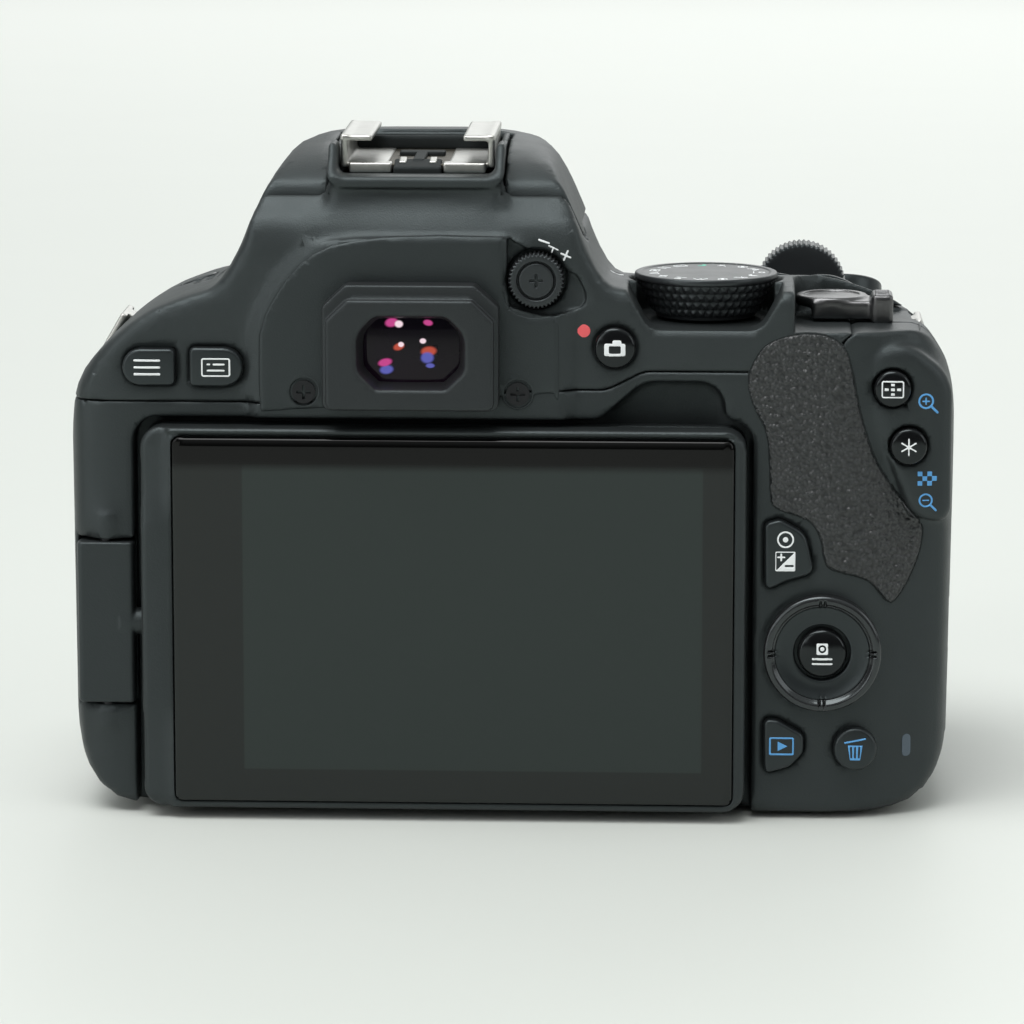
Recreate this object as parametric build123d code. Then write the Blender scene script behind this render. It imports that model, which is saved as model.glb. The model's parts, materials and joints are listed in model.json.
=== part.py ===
"""Compact single-lens reflex camera body with a vari-angle screen and a pop-up flash.

Frame: the origin is the mouth of the tripod socket, on the base plane and under the lens axis.
+X points to the hand grip (the holder's right), +Y along the lens axis to the subject, +Z up.
All sizes are in millimetres.
"""

import os

from build123d import *

# ---------------------------------------------------------------- driving dimensions
X_LEFT, X_RIGHT = -48.6, 73.8  # outer sides
Y_BACK = -20.0  # control panel face of the rear cover
Y_EYE = -26.0  # rearmost face, the eyepiece frame
Y_BODY_FRONT = 17.5  # front face beside the lens housing
Y_GRIP = 43.8  # foremost face, the grip
Z_TOP_PLATE = 74.2
Z_HUMP = 93.8
WALL = 2.2  # cover wall
GAP = 0.25  # clearance round buttons and doors
RUN = 0.05  # radial clearance of a pivot in its bore
SEAM_Y = -8.0  # parting plane between the rear and front covers
SEAM_LOW, SEAM_HIGH = 58.2, 64.0  # parting height under the top cover, left and right

LENS_Z = 38.0
FLANGE_Y = 39.0
SENSOR_Y = -5.0
THROAT_R = 27.0
MOUNT_R = 32.5
HOUSING_R = 35.5

# ---------------------------------------------------------------- helpers


def outline(*corners):
    """Closed outline through corners given as (u, v, corner radius)."""
    face = make_face(Polyline(*[(u, v) for u, v, _ in corners], close=True))
    for u, v, r in corners:
        if r:
            here = [p for p in face.vertices() if abs(p.X - u) + abs(p.Y - v) < 1e-5]
            face = fillet(here, r)
    return face


def inset(face, amount):
    return offset(face, amount=-amount, kind=Kind.INTERSECTION) if amount else face


def along_x(face, x0, x1):
    """Extrudes an outline drawn in (Y, Z) from x0 to x1."""
    return extrude(Plane(origin=(x0, 0, 0), x_dir=(0, 1, 0), z_dir=(1, 0, 0)) * face, x1 - x0)


def along_y(face, y0, y1):
    """Extrudes an outline drawn in (X, Z) from y0 to y1."""
    return extrude(Plane(origin=(0, y1, 0), x_dir=(1, 0, 0), z_dir=(0, -1, 0)) * face, y1 - y0)


def along_z(face, z0, z1):
    """Extrudes an outline drawn in (X, Y) from z0 to z1."""
    return extrude(Pos(0, 0, z0) * face, z1 - z0)


def block(x0, x1, y0, y1, z0, z1):
    centre = Pos((x0 + x1) / 2, (y0 + y1) / 2, (z0 + z1) / 2)
    return centre * Box(x1 - x0, y1 - y0, z1 - z0)


def rod_x(radius, y, z, x0, x1):
    return along_x(Pos(y, z) * Circle(radius), x0, x1)


def rod_y(radius, x, z, y0, y1):
    return along_y(Pos(x, z) * Circle(radius), y0, y1)


def rod_z(radius, x, y, z0, z1):
    return along_z(Pos(x, y) * Circle(radius), z0, z1)


def plate(x0, x1, z0, z1, radius, y0, y1):
    """Rounded rectangle seen from behind, from y0 to y1."""
    centre = Pos((x0 + x1) / 2, (z0 + z1) / 2)
    return along_y(centre * RectangleRounded(x1 - x0, z1 - z0, radius), y0, y1)


# ---------------------------------------------------------------- body envelope
REAR_OUTLINE = outline(
    (X_LEFT + 0.7, 0, 9),
    (X_LEFT, 57.5, 9),
    (-42.0, 70.6, 8),
    (-26.0, 72.6, 0),
    (30.0, Z_TOP_PLATE, 0),
    (60.0, Z_TOP_PLATE, 8),
    (68.0, 69.5, 8),
    (X_RIGHT, 59.0, 10),
    (X_RIGHT, 0, 11),
)
PLAN_OUTLINE = outline(
    (X_LEFT, Y_BACK, 7.0),
    (58.0, Y_BACK, 12),
    (X_RIGHT, -13.5, 6),
    (X_RIGHT, 24.0, 14),
    (68.0, Y_GRIP, 9),
    (50.5, Y_GRIP, 9),
    (42.0, Y_BODY_FRONT, 8),
    (-42.0, Y_BODY_FRONT, 5),
    (X_LEFT, 11.0, 5),
)
SIDE_OUTLINE = outline(
    (Y_BACK, 0, 2.5),
    (42.5, 0, 6),
    (44.2, 12.0, 8),
    (44.2, 57.0, 7),
    (33.0, 67.5, 8),
    (14.0, 75.5, 12),
    (Y_BACK, 75.5, 3),
)
HUMP_REAR = outline(
    (-28.0, 50.0, 0),
    (-27.2, 71.0, 12),
    (-22.8, 84.0, 6),
    (-16.5, Z_HUMP, 7),
    (16.5, Z_HUMP, 7),
    (22.8, 84.0, 6),
    (27.2, 71.0, 12),
    (28.0, 50.0, 0),
)
HUMP_SIDE = outline(
    (-20.5, 50.0, 0),
    (-20.5, 81.2, 1.5),
    (-16.4, 83.0, 2.0),
    (-14.9, 88.2, 1.5),
    (4.0, Z_HUMP, 10),
    (16.0, Z_HUMP, 10),
    (33.0, 80.0, 10),
    (36.5, 50.0, 0),
)


def main_block(t):
    seen_from_behind = along_y(inset(REAR_OUTLINE, t), -40, 60)
    seen_from_above = along_z(inset(PLAN_OUTLINE, t), -5, 95)
    seen_from_side = along_x(inset(SIDE_OUTLINE, t), -60, 90)
    return seen_from_behind & seen_from_above & seen_from_side


def hump(t):
    return along_y(inset(HUMP_REAR, t), -40, 60) & along_x(inset(HUMP_SIDE, t), -60, 60)


def lens_housing(t):
    return rod_y(HOUSING_R - t, 0, LENS_Z, 8 + t, FLANGE_Y - 2.2 - t)


def envelope(t):
    return main_block(t) + hump(t) + lens_housing(t)


# ---------------------------------------------------------------- regions of the shell
FAR_LEFT, FAR_RIGHT, FAR_BACK, FAR_FRONT, FAR_LOW, FAR_HIGH = -90, 120, -60, 80, -20, 120
SEAM = 0.12  # width of the lines between covers
TOP_SEAM = (
    (FAR_LEFT, SEAM_LOW, 0),
    (19.0, SEAM_LOW, 0),
    (46.0, SEAM_HIGH, 0),
    (FAR_RIGHT, SEAM_HIGH, 0),
)


def above_seam(shift):
    line = [(x, z + shift, r) for x, z, r in TOP_SEAM]
    return along_y(outline(*line, (FAR_RIGHT, FAR_HIGH, 0), (FAR_LEFT, FAR_HIGH, 0)), -60, 80)


# screen module and the recess it closes into
SCREEN = dict(x0=-37.8, x1=45.8, z0=1.4, z1=55.1)
SCREEN_Y0, SCREEN_Y1 = -23.2, -15.6  # glass side and back side
SCREEN_R = 3.0
RECESS_Y = -15.2
SWING_X, SWING_Y = -43.0, -18.6  # vertical swing axis
TILT_Z = 27.2
KNUCKLE_Z0, KNUCKLE_Z1 = 15.8, 38.5
KNUCKLE_R = 4.1


def recess(grow):
    """Space behind the screen, open to the back, with the finger notch above it."""
    pocket = plate(
        SCREEN["x0"] - 1.2 - grow, SCREEN["x1"] + 0.8 + grow,
        -9.0, SCREEN["z1"] + 0.8 + grow,
        SCREEN_R + 0.8, -40, RECESS_Y + grow,
    )
    notch = outline((23.0, 50, 0), (30.0, 61.4, 4), (42.8, 61.4, 3), (43.6, 50, 0))
    notch = along_y(offset(notch, amount=grow) if grow else notch, -40, -14.4 + grow)
    low, high = KNUCKLE_Z0 - 0.3 - grow, KNUCKLE_Z1 + 0.3 + grow
    knuckle = rod_z(KNUCKLE_R + 0.5 + grow, SWING_X, SWING_Y, low, high)
    side = block(-60, SWING_X, -40, SWING_Y, KNUCKLE_Z0 - 0.3, KNUCKLE_Z1 + 0.3)
    if grow:
        return pocket + notch + knuckle
    return pocket + notch + knuckle + side


# pop-up flash: the front and flanks of the hump, turning on a cross axis beside the shoe
FLASH_Y, FLASH_Z = -9.5, 85.5
FLASH_BASE_Z = 81.6
FLASH_END_R = FLASH_Z - FLASH_BASE_Z  # round heel that clears the deck as the flash lifts
HEEL_GAP = 0.6
FLASH_TOP_R = 5.1  # sweep of the top of the arms behind the pivot
SHOE_BLOCK_X, SHOE_BLOCK_Y = 12.3, 8.9
SHOE_FLOOR_Z = 89.4
FLASH_INNER_Y = 9.7  # clears the shoe's front corner as the flash lifts
DECK_Z = 79.0


def flash_region(grow, inner_y):
    """Everything of the hump that lifts with the flash, grown by a clearance."""
    front = block(-40, 40, FLASH_Y, 60, FLASH_BASE_Z - grow, 110)
    heel = rod_x(FLASH_END_R + (HEEL_GAP if grow else 0), FLASH_Y, FLASH_Z, -40, 40)
    if grow:
        heel += rod_x(FLASH_TOP_R, FLASH_Y, FLASH_Z, -40, 40) & block(-40, 40, -40, 0, FLASH_Z + 1.6, 110)
    middle = block(-SHOE_BLOCK_X + grow, SHOE_BLOCK_X - grow, -60, inner_y, 60, 110)
    return front + heel - middle


# mode dial pocket, open to the back
DIAL_X, DIAL_Y, DIAL_R = 39.9, -6.0, 10.1
DIAL_Z0, DIAL_Z1 = 68.8, 75.0


def dial_pocket(grow):
    r = DIAL_R + 0.5
    well = rod_z(r + grow, DIAL_X, DIAL_Y, DIAL_Z0 - 0.3 - grow, 100)
    back = block(DIAL_X - r - grow, DIAL_X + r + grow, -60, DIAL_Y, DIAL_Z0 - 0.3 - grow, 100)
    return well + back


# main dial, a wheel on a front-to-back axle in the grip's top
WHEEL_X, WHEEL_Z, WHEEL_R = 53.4, 69.8, 6.4
WHEEL_Y0, WHEEL_Y1 = 15.5, 21.0


def wheel_well(grow):
    return rod_y(WHEEL_R + 0.5 + grow, WHEEL_X, WHEEL_Z, WHEEL_Y0 - 0.4 - grow, WHEEL_Y1 + 0.4 + grow)


# power lever well
LEVER_X, LEVER_Y, LEVER_R, LEVER_Z = 58.3, -3.5, 4.6, 70.6
LEVER_REACH = 66.0


def lever_well(grow):
    well = rod_z(LEVER_R + 0.5 + grow, LEVER_X, LEVER_Y, LEVER_Z - 0.4 - grow, 100)
    sweep = block(LEVER_X, 90, -14.5 - grow, 7.0 + grow, LEVER_Z - 0.4 - grow, 100)
    return well + sweep


# eyepiece tube through the back of the hump
EYE_X, EYE_Z = -0.3, 66.2
EYE_TUBE = (20.4, 15.4)


def eye_tunnel(y0, y1, grow=0.0):
    w, h = EYE_TUBE
    return plate(
        EYE_X - w / 2 - grow, EYE_X + w / 2 + grow, EYE_Z - h / 2 - grow, EYE_Z + h / 2 + grow, 2, y0, y1
    )


# dioptre knob
KNOB_X, KNOB_Z, KNOB_R = 16.8, 75.5, 4.0

# battery door
DOOR = dict(x0=48.4, x1=64.6, y0=-1.0, y1=35.4)
DOOR_R, DOOR_T = 2.0, 2.2
DOOR_HINGE_X, DOOR_HINGE_Z, DOOR_HINGE_R = 47.0, 1.6, 1.3
DOOR_SWEEP_R = 2.08  # the hinge edge of the door is hollowed to this radius to clear the wall as it turns

# flank doors
LEFT_DOOR = dict(y0=-5.5, y1=7.6, z0=12.0, z1=50.0)
RIGHT_DOOR = dict(y0=-6.0, y1=5.0, z0=20.4, z1=38.2)
FLANK_T = 1.4

# base plate let into the covers
BASE = dict(x0=-38.0, x1=44.0, y0=-12.0, y1=14.5)
BASE_T = 2.0

# control buttons on the back: outline corners (x, z, corner radius), proud height, travel
BACK_BUTTONS = {
    "menu_button": (((-40.3, 60.2, 2.4), (-33.1, 60.2, 0.8), (-33.1, 65.3, 0.8), (-40.3, 65.3, 2.4)), 1.0),
    "info_button": (((-31.1, 60.2, 0.8), (-23.8, 60.2, 2.4), (-23.8, 65.4, 2.4), (-31.1, 65.4, 0.8)), 1.0),
    "exposure_button": (((48.4, 33.2, 1.5), (52.0, 33.2, 1.2), (55.2, 35.8, 1.2), (53.4, 40.8, 1.4),
                         (48.4, 42.4, 1.5)), 0.9),
    "playback_button": (((48.5, 6.8, 1.5), (52.4, 6.8, 1.5), (54.2, 10.9, 1.2), (52.2, 14.2, 1.5),
                         (48.5, 14.2, 1.5)), 0.9),
}
ROUND_BUTTONS = {  # x, z, radius, proud height
    "live_view_button": (27.6, 66.2, 2.8, 1.2),
    "focus_point_button": (65.7, 60.5, 2.4, 1.3),
    "exposure_lock_button": (68.0, 52.6, 2.4, 1.3),
    "erase_button": (61.1, 10.2, 3.0, 0.9),
}
EDGE_X, EDGE_Y = 63.0, -18.6  # the cover slopes away beyond this, towards the right edge
LIP = 0.7  # width of the flange that keeps a button in its cover
PAD_X, PAD_Z, PAD_R, SET_R = 56.4, 23.8, 8.2, 3.4


# ---------------------------------------------------------------- covers
def shell():
    """Hollow body: outer skin, walls of the recesses, and the openings."""
    cavity = envelope(WALL)
    for pocket in (recess, dial_pocket, wheel_well, lever_well):
        cavity -= pocket(1.5)
    cavity -= eye_tunnel(-30, -12.0, 1.3)
    cavity -= block(-40, 40, -60, 60, DECK_Z, 110)
    cavity += block(-10.3, 10.3, -13.4, 7.0, DECK_Z - 1, SHOE_FLOOR_Z - 1.8)
    body = envelope(0) + button_bosses() - cavity
    body -= flash_region(GAP, SHOE_BLOCK_Y)
    body -= recess(0) + dial_pocket(0) + wheel_well(0) + lever_well(0)
    body -= block(-SHOE_BLOCK_X - 1, SHOE_BLOCK_X + 1, -60, FLASH_INNER_Y, SHOE_FLOOR_Z, 110)
    body -= eye_tunnel(-40, 0)
    body -= rod_y(THROAT_R + 1.2, 0, LENS_Z, 20, 60)
    return body


def button_bosses():
    """Raised collars under the two buttons at the sloping right edge."""
    bosses = []
    for x, z, r, _ in ROUND_BUTTONS.values():
        if on_edge(x, z):
            bosses.append(rod_y(r + 1.6, x, z, EDGE_Y, -12.0))
    return Compound(bosses) & along_y(REAR_OUTLINE, -40, 0)


def back_holes():
    """Openings for the buttons, the dioptre knob, the lamp and the fixed eyepiece parts."""
    holes = []
    for corners, _ in BACK_BUTTONS.values():
        face = outline(*corners)
        holes.append(along_y(offset(face, amount=GAP), -40, -12))
        holes.append(along_y(offset(face, amount=LIP + GAP), Y_BACK + WALL, -12))
    for x, z, r, _ in ROUND_BUTTONS.values():
        holes.append(rod_y(r + GAP, x, z, -40, -9))
        holes.append(rod_y(r + LIP + GAP, x, z, lip_y(x, z) - 0.05, -9))
    for x, z in PANEL_SCREWS:
        holes.append(rod_y(0.95, x, z, -30, -17.0))
    holes.append(rod_y(PAD_R + 0.7, PAD_X, PAD_Z, -40, SEAT_Y))
    holes.append(rod_y(1.8 + RUN, PAD_X, PAD_Z, -40, -10))
    holes.append(rod_y(KNOB_R + 0.6, KNOB_X, KNOB_Z, -40, -18.6))
    holes.append(rod_y(1.25 + RUN, KNOB_X, KNOB_Z, -20, -12))
    holes.append(plate(67.7, 68.9, 8.2, 11.6, 0.55, -40, -8))
    return holes


def panel_outline():
    return outline(
        (-21.0, 57.0, 0),
        (-21.0, 72.0, 8),
        (-13.5, 81.6, 6),
        (11.8, 81.6, 2),
        (11.8, 71.0, 2),
        (19.6, 66.0, 3),
        (19.6, 57.0, 0),
    )


PANEL_Y0, PANEL_Y1 = -21.2, -18.8
FRAME_CORNERS = (
    (-12.3, 57.9, 1.5), (-12.3, 72.9, 0.8), (-9.7, 75.2, 0.8), (9.1, 75.2, 0.8), (11.7, 72.9, 0.8),
    (11.7, 57.9, 1.5),
)
PANEL_SCREWS = ((-15.2, 59.9), (14.3, 59.8))


def covers():
    body = shell()
    for hole in back_holes():
        body -= hole
    body -= along_y(offset(panel_outline(), amount=0.1), -40, PANEL_Y1)
    top_region = above_seam(SEAM / 2)
    low = body - above_seam(-SEAM / 2)
    rear_half = block(FAR_LEFT, FAR_RIGHT, FAR_BACK, SEAM_Y - SEAM / 2, FAR_LOW, FAR_HIGH)
    front_half = block(FAR_LEFT, FAR_RIGHT, SEAM_Y + SEAM / 2, FAR_FRONT, FAR_LOW, FAR_HIGH)

    base_well = block(BASE["x0"] - 0.1, BASE["x1"] + 0.1, BASE["y0"] - 0.1, BASE["y1"] + 0.1, -1, 5)
    rear = (low & rear_half) + cross_key_seat() + swing_lugs() - base_well
    front = (low & front_half) - base_well

    # battery bay opening with the hinge groove, and the flank doors
    front -= along_z(offset(door_outline(), amount=0.2), -1, 3.4)
    front -= block(DOOR_HINGE_X - 1.7, DOOR["x0"] + 1, 7.8, 30.2, -1, 3.4)
    front -= rod_y(0.75, DOOR_HINGE_X, DOOR_HINGE_Z, 5.0, 33.0)
    y0, y1, z0, z1 = (LEFT_DOOR[k] for k in ("y0", "y1", "z0", "z1"))
    front -= block(X_LEFT - 1, X_LEFT + FLANK_T + 0.2, y0 - 0.2, y1 + 1.7, z0 - 0.2, z1 + 0.2)
    front -= block(X_LEFT - 1, X_LEFT + 4, y0 + 1.5, y1 - 2.0, z0 + 3, z1 - 3)
    y0, y1, z0, z1 = (RIGHT_DOOR[k] for k in ("y0", "y1", "z0", "z1"))
    front -= block(X_RIGHT - FLANK_T - 0.2, X_RIGHT + 1, y0 - 0.2, y1 + 1.7, z0 - 0.2, z1 + 0.2)
    front -= block(X_RIGHT - 4, X_RIGHT + 1, y0 + 1.5, y1 - 2.0, z0 + 3, z1 - 3)
    # lens release opening and its guide, the lock pin bore and the grip rubber's seat
    for hole in front_holes():
        front -= hole
    front -= grip_skin(0.0)
    rear -= thumb_pad(0.05)
    rear -= rod_z(0.95, SWING_X, SWING_Y, KNUCKLE_Z0 - 3.2, KNUCKLE_Z1 + 3.2)

    top = body & top_region
    for hole in top_holes():
        top -= hole
    for spec in STRAP_LUGS:
        top -= strap_lug(*spec, 0.12)
        front -= strap_lug(*spec, 0.12)
    front = front.solids().sort_by(SortBy.VOLUME)[-1]
    return rear, front, top


def front_holes():
    """Openings in the front cover: lens release, lock pin, flash key, shutter button, lamp."""
    y_wall = Y_BODY_FRONT - WALL
    x, z = pin_spot()
    return (
        rod_y(RELEASE_R + GAP, RELEASE_X, RELEASE_Z, 10, 40),
        rod_y(RELEASE_R + LIP + GAP, RELEASE_X, RELEASE_Z, 9, y_wall - 0.9),
        rod_y(FLASH_KEY["r"] + GAP, FLASH_KEY["x"], FLASH_KEY["z"], 10, 40),
        rod_y(FLASH_KEY["r"] + LIP + GAP, FLASH_KEY["x"], FLASH_KEY["z"], 9, y_wall - 0.3),
        rod_y(1.3 + RUN, x, z, 20, 60),
        rod_y(2.65, *FOCUS_LAMP, 10, 40),
        shutter_rod(SHUTTER["r"] + LIP + GAP, -6, -1.5),
    )


def swing_lugs():
    """Solid lugs above and below the knuckle that take the swing pins."""
    lugs = block(-46.5, -39.1, -20, -14.8, KNUCKLE_Z0 - 4.3, KNUCKLE_Z0 - 0.3)
    lugs += block(-46.5, -39.1, -20, -14.8, KNUCKLE_Z1 + 0.3, KNUCKLE_Z1 + 4.3)
    return (lugs & main_block(0)) - rod_z(0.95, SWING_X, SWING_Y, 0, 60)


# ---------------------------------------------------------------- rubber pads
THUMB = (
    (47.2, 66.5, 2.5), (58.6, 69.6, 3.0), (61.0, 57.5, 10), (71.4, 40.5, 3), (66.0, 29.6, 3),
    (61.8, 34.8, 4), (56.6, 35.6, 2), (55.0, 41.8, 3), (49.0, 44.0, 2), (48.4, 56.5, 6), (45.4, 60.0, 2),
)
THUMB_T = 0.9


def thumb_pad(grow):
    """Leather-grained rubber pad under the thumb, let into the rear cover."""
    face = outline(*THUMB)
    pad = along_y(offset(face, amount=grow) if grow else face, -40, -9)
    pad &= block(0, 80, -60, SEAM_Y - 1.0, 20, 62.2)
    skin = main_block(0) - main_block(THUMB_T + grow)
    return skin & pad


GRIP_T = 1.1


def grip_skin(grow):
    """Rubber wrapped round the front of the hand grip."""
    zone = block(41.0, 90, Y_BODY_FRONT - 3.0, 60, 6.0, 56.0)
    zone -= block(X_RIGHT - 6, 90, 0, 22.0, 0, 60)
    return (main_block(0) - main_block(GRIP_T + grow)) & zone


# ---------------------------------------------------------------- top controls
TOP_Y_TILT = 22.8  # slope of the top towards the shutter button, in degrees
SHUTTER = dict(x=59.5, y=30.4, z=69.0, r=5.2)
ISO = dict(x=48.6, y=8.5, w=5.4, d=3.4)
DISPLAY = dict(x=57.6, y=9.6, w=5.4, d=3.4)
TOP_BUTTON_Z = 73.6
RELEASE_X, RELEASE_Z, RELEASE_R = -40.2, 33.5, 4.6
FLASH_KEY = dict(x=-40.6, z=49.0, r=2.6)
FOCUS_LAMP = (40.0, 57.5)
WIRELESS = dict(x=-31.8, y=2.0, r=1.9)


def shutter_plane():
    return Plane(
        origin=(SHUTTER["x"], SHUTTER["y"], SHUTTER["z"]),
        x_dir=(1, 0, 0),
        z_dir=Vector(0, 0, 1).rotate(Axis.X, -TOP_Y_TILT),
    )


def shutter_rod(radius, low, high):
    return shutter_plane() * (Pos(0, 0, (low + high) / 2) * Cylinder(radius, high - low))


def top_box(spec, grow, z0, z1):
    centre = Pos(spec["x"], spec["y"])
    face = centre * RectangleRounded(spec["w"] + 2 * grow, spec["d"] + 2 * grow, 0.9)
    return along_z(face, z0, z1)


def top_holes():
    holes = [shutter_rod(SHUTTER["r"] + GAP, -8, 12), shutter_rod(SHUTTER["r"] + LIP + GAP, -6.2, -3.2)]
    holes += [top_box(ISO, GAP, 60, 90), top_box(DISPLAY, GAP, 60, 90)]
    holes.append(rod_z(WIRELESS["r"] + GAP, WIRELESS["x"], WIRELESS["y"], 66, 90))
    holes.append(rod_z(2.0 + RUN, DIAL_X, DIAL_Y, 60, 70))
    holes.append(rod_z(1.6 + RUN, LEVER_X, LEVER_Y, 60, 72))
    holes.append(rod_y(1.2 + RUN, WHEEL_X, WHEEL_Z, 10, 26))
    for side in (-1, 1):
        x0, x1 = sorted((side * (SHOE_BLOCK_X - 3.1), side * 13.0))
        holes.append(rod_x(1.2 + RUN, FLASH_Y, FLASH_Z, x0, x1))
    return holes


# ---------------------------------------------------------------- back controls
def back_button(corners, proud):
    face = outline(*corners)
    cap = along_y(face, Y_BACK - proud, Y_BACK + WALL + 0.1)
    lip = along_y(offset(face, amount=LIP), Y_BACK + WALL + 0.1, Y_BACK + WALL + 1.0)
    return cap + lip


def on_edge(x, z):
    return x > EDGE_X and z > PAD_Z


def lip_y(x, z):
    return EDGE_Y + 5.6 if on_edge(x, z) else Y_BACK + WALL + 0.6


def round_button(x, z, radius, proud):
    y_face = EDGE_Y if on_edge(x, z) else Y_BACK
    cap = rod_y(radius, x, z, y_face - proud, lip_y(x, z))
    return cap + rod_y(radius + LIP, x, z, lip_y(x, z), lip_y(x, z) + 0.9)


def cross_key_ring():
    ring = rod_y(PAD_R, PAD_X, PAD_Z, Y_BACK - 1.1, Y_BACK + 0.5)
    ring -= rod_y(PAD_R - 1.6, PAD_X, PAD_Z, Y_BACK - 2, Y_BACK - 0.5)
    ring -= rod_y(SET_R + 0.3, PAD_X, PAD_Z, Y_BACK - 2, Y_BACK + 1)
    for side in (-1, 1):
        ring += rod_z(0.4, PAD_X, GIMBAL_Y + 0.3, *sorted((PAD_Z + side * 6.8, PAD_Z + side * 7.6)))
        z0, z1 = sorted((PAD_Z + side * 7.1, PAD_Z + side * 7.6))
        ring += block(PAD_X - 0.5, PAD_X + 0.5, Y_BACK + 0.4, GIMBAL_Y + 0.3, z0, z1)
    return ring


GIMBAL_Y = Y_BACK + 1.6
SEAT_Y = Y_BACK + 3.4


def cross_key_gimbal():
    """Ring that tilts up and down, and carries the key ring, which tilts left and right."""
    gimbal = rod_y(6.4, PAD_X, PAD_Z, GIMBAL_Y, GIMBAL_Y + 0.6) - rod_y(5.2, PAD_X, PAD_Z, -40, 0)
    return gimbal + rod_x(0.3, GIMBAL_Y + 0.3, PAD_Z, PAD_X - 8.2, PAD_X - 6) + rod_x(
        0.3, GIMBAL_Y + 0.3, PAD_Z, PAD_X + 6, PAD_X + 8.2
    )


def cross_key_seat():
    """Cup behind the cross keys, with the guide of the centre button."""
    cup = rod_y(PAD_R + 1.35, PAD_X, PAD_Z, Y_BACK + WALL - 0.2, SEAT_Y + 1.0)
    cup -= rod_y(PAD_R + 0.7, PAD_X, PAD_Z, -40, SEAT_Y)
    return cup - rod_y(1.8 + RUN, PAD_X, PAD_Z, -40, 0)


def set_button():
    cap = rod_y(SET_R, PAD_X, PAD_Z, Y_BACK - 1.5, Y_BACK + 1.6)
    stem = rod_y(1.8, PAD_X, PAD_Z, Y_BACK + 1.6, Y_BACK + 5.0)
    return cap + stem


# ---------------------------------------------------------------- eyepiece
def eyepiece_frame():
    """Frame round the window, with the slot-shaped opening."""
    body = along_y(outline(*FRAME_CORNERS), Y_EYE, PANEL_Y0 - 0.05)
    body = chamfer(body.faces().sort_by(Axis.Y)[0].edges(), 0.7)
    window = plate(-7.1, 6.7, 61.3, 71.1, 3.2, -40, 0)
    funnel = plate(-8.6, 8.2, 60.0, 72.4, 3.4, -40, Y_EYE + 1.0)
    return body - window - funnel


def eyepiece_window():
    return plate(-8.2, 7.8, 60.4, 72.0, 3.2, PANEL_Y0, PANEL_Y0 + 1.2)


LENS_CELL_Y0, LENS_CELL_Y1 = -17.0, -11.5


def eyepiece_lens():
    """Two cemented elements in their cell."""
    rear = plate(-9.0, 8.4, 60.2, 72.2, 2.5, LENS_CELL_Y0 + 0.8, LENS_CELL_Y0 + 2.6)
    front = plate(-9.0, 8.4, 60.2, 72.2, 2.5, LENS_CELL_Y0 + 2.65, LENS_CELL_Y0 + 4.6)
    return Compound([rear, front])


def eyepiece_cell():
    outer = plate(EYE_X - 9.9, EYE_X + 9.9, EYE_Z - 7.4, EYE_Z + 7.4, 2, LENS_CELL_Y0, LENS_CELL_Y1)
    outer -= plate(-9.05, 8.45, 60.15, 72.25, 2.5, LENS_CELL_Y0 + 0.75, 0)
    return outer - plate(-8.0, 7.4, 61.2, 71.2, 2.5, -40, 0)


def dioptre_knob():
    wheel = rod_y(KNOB_R, KNOB_X, KNOB_Z, -24.2, -19.3)
    notches = PolarLocations(KNOB_R, 24)
    for spot in notches:
        wheel -= rod_y(0.32, KNOB_X + spot.position.X, KNOB_Z + spot.position.Y, -25, -19)
    shaft = rod_y(1.25, KNOB_X, KNOB_Z, -19.3, -15.4)
    cross = plate(-1.3, 1.3, -0.25, 0.25, 0.1, -25, -23.6) + plate(-0.25, 0.25, -1.3, 1.3, 0.1, -25, -23.6)
    return wheel + shaft - Pos(KNOB_X, 0, KNOB_Z) * cross


# ---------------------------------------------------------------- hot shoe
SHOE_Y0, SHOE_Y1 = -11.0, 8.0
SHOE_OUT, SHOE_IN, SHOE_LIP = 10.6, 9.35, 6.3
SHOE_TOP = 94.1
SHOE_SLOT_Z0, SHOE_SLOT_Z1 = 90.9, 93.0


def hot_shoe_rails():
    """Bent sheet: floor edges, side walls and inward lips on both sides."""
    sheet = block(-SHOE_OUT, SHOE_OUT, SHOE_Y0, SHOE_Y1, SHOE_SLOT_Z0 - 0.6, SHOE_TOP)
    sheet -= block(-SHOE_IN, SHOE_IN, -40, SHOE_Y1 - 1.0, SHOE_SLOT_Z0, SHOE_SLOT_Z1)
    sheet -= block(-SHOE_LIP, SHOE_LIP, -40, 40, SHOE_SLOT_Z0, 100)
    sheet -= block(-4.2, 4.2, SHOE_Y0 - 1, -5.5, 80, 100)
    sheet -= block(-40, 40, SHOE_Y1 - 0.5, 40, SHOE_TOP - 1.0, 100)
    return sheet


def hot_shoe_base():
    base = block(-11.2, 11.2, SHOE_Y0 - 2.6, SHOE_Y1 + 0.5, SHOE_FLOOR_Z, SHOE_SLOT_Z0 - 0.65)
    base += block(-4.1, 4.1, SHOE_Y0 - 0.4, -5.6, SHOE_FLOOR_Z, SHOE_SLOT_Z0 - 0.1)
    return base


def hot_shoe_contacts():
    spots = [(0, -1.6, 1.1), (-4.2, -2.6, 0.7), (4.2, -2.6, 0.7), (-3.4, 1.6, 0.7), (3.4, 1.6, 0.7)]
    return Compound([rod_z(r, x, y, SHOE_SLOT_Z0 + 0.02, SHOE_SLOT_Z0 + 0.3) for x, y, r in spots])


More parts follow.
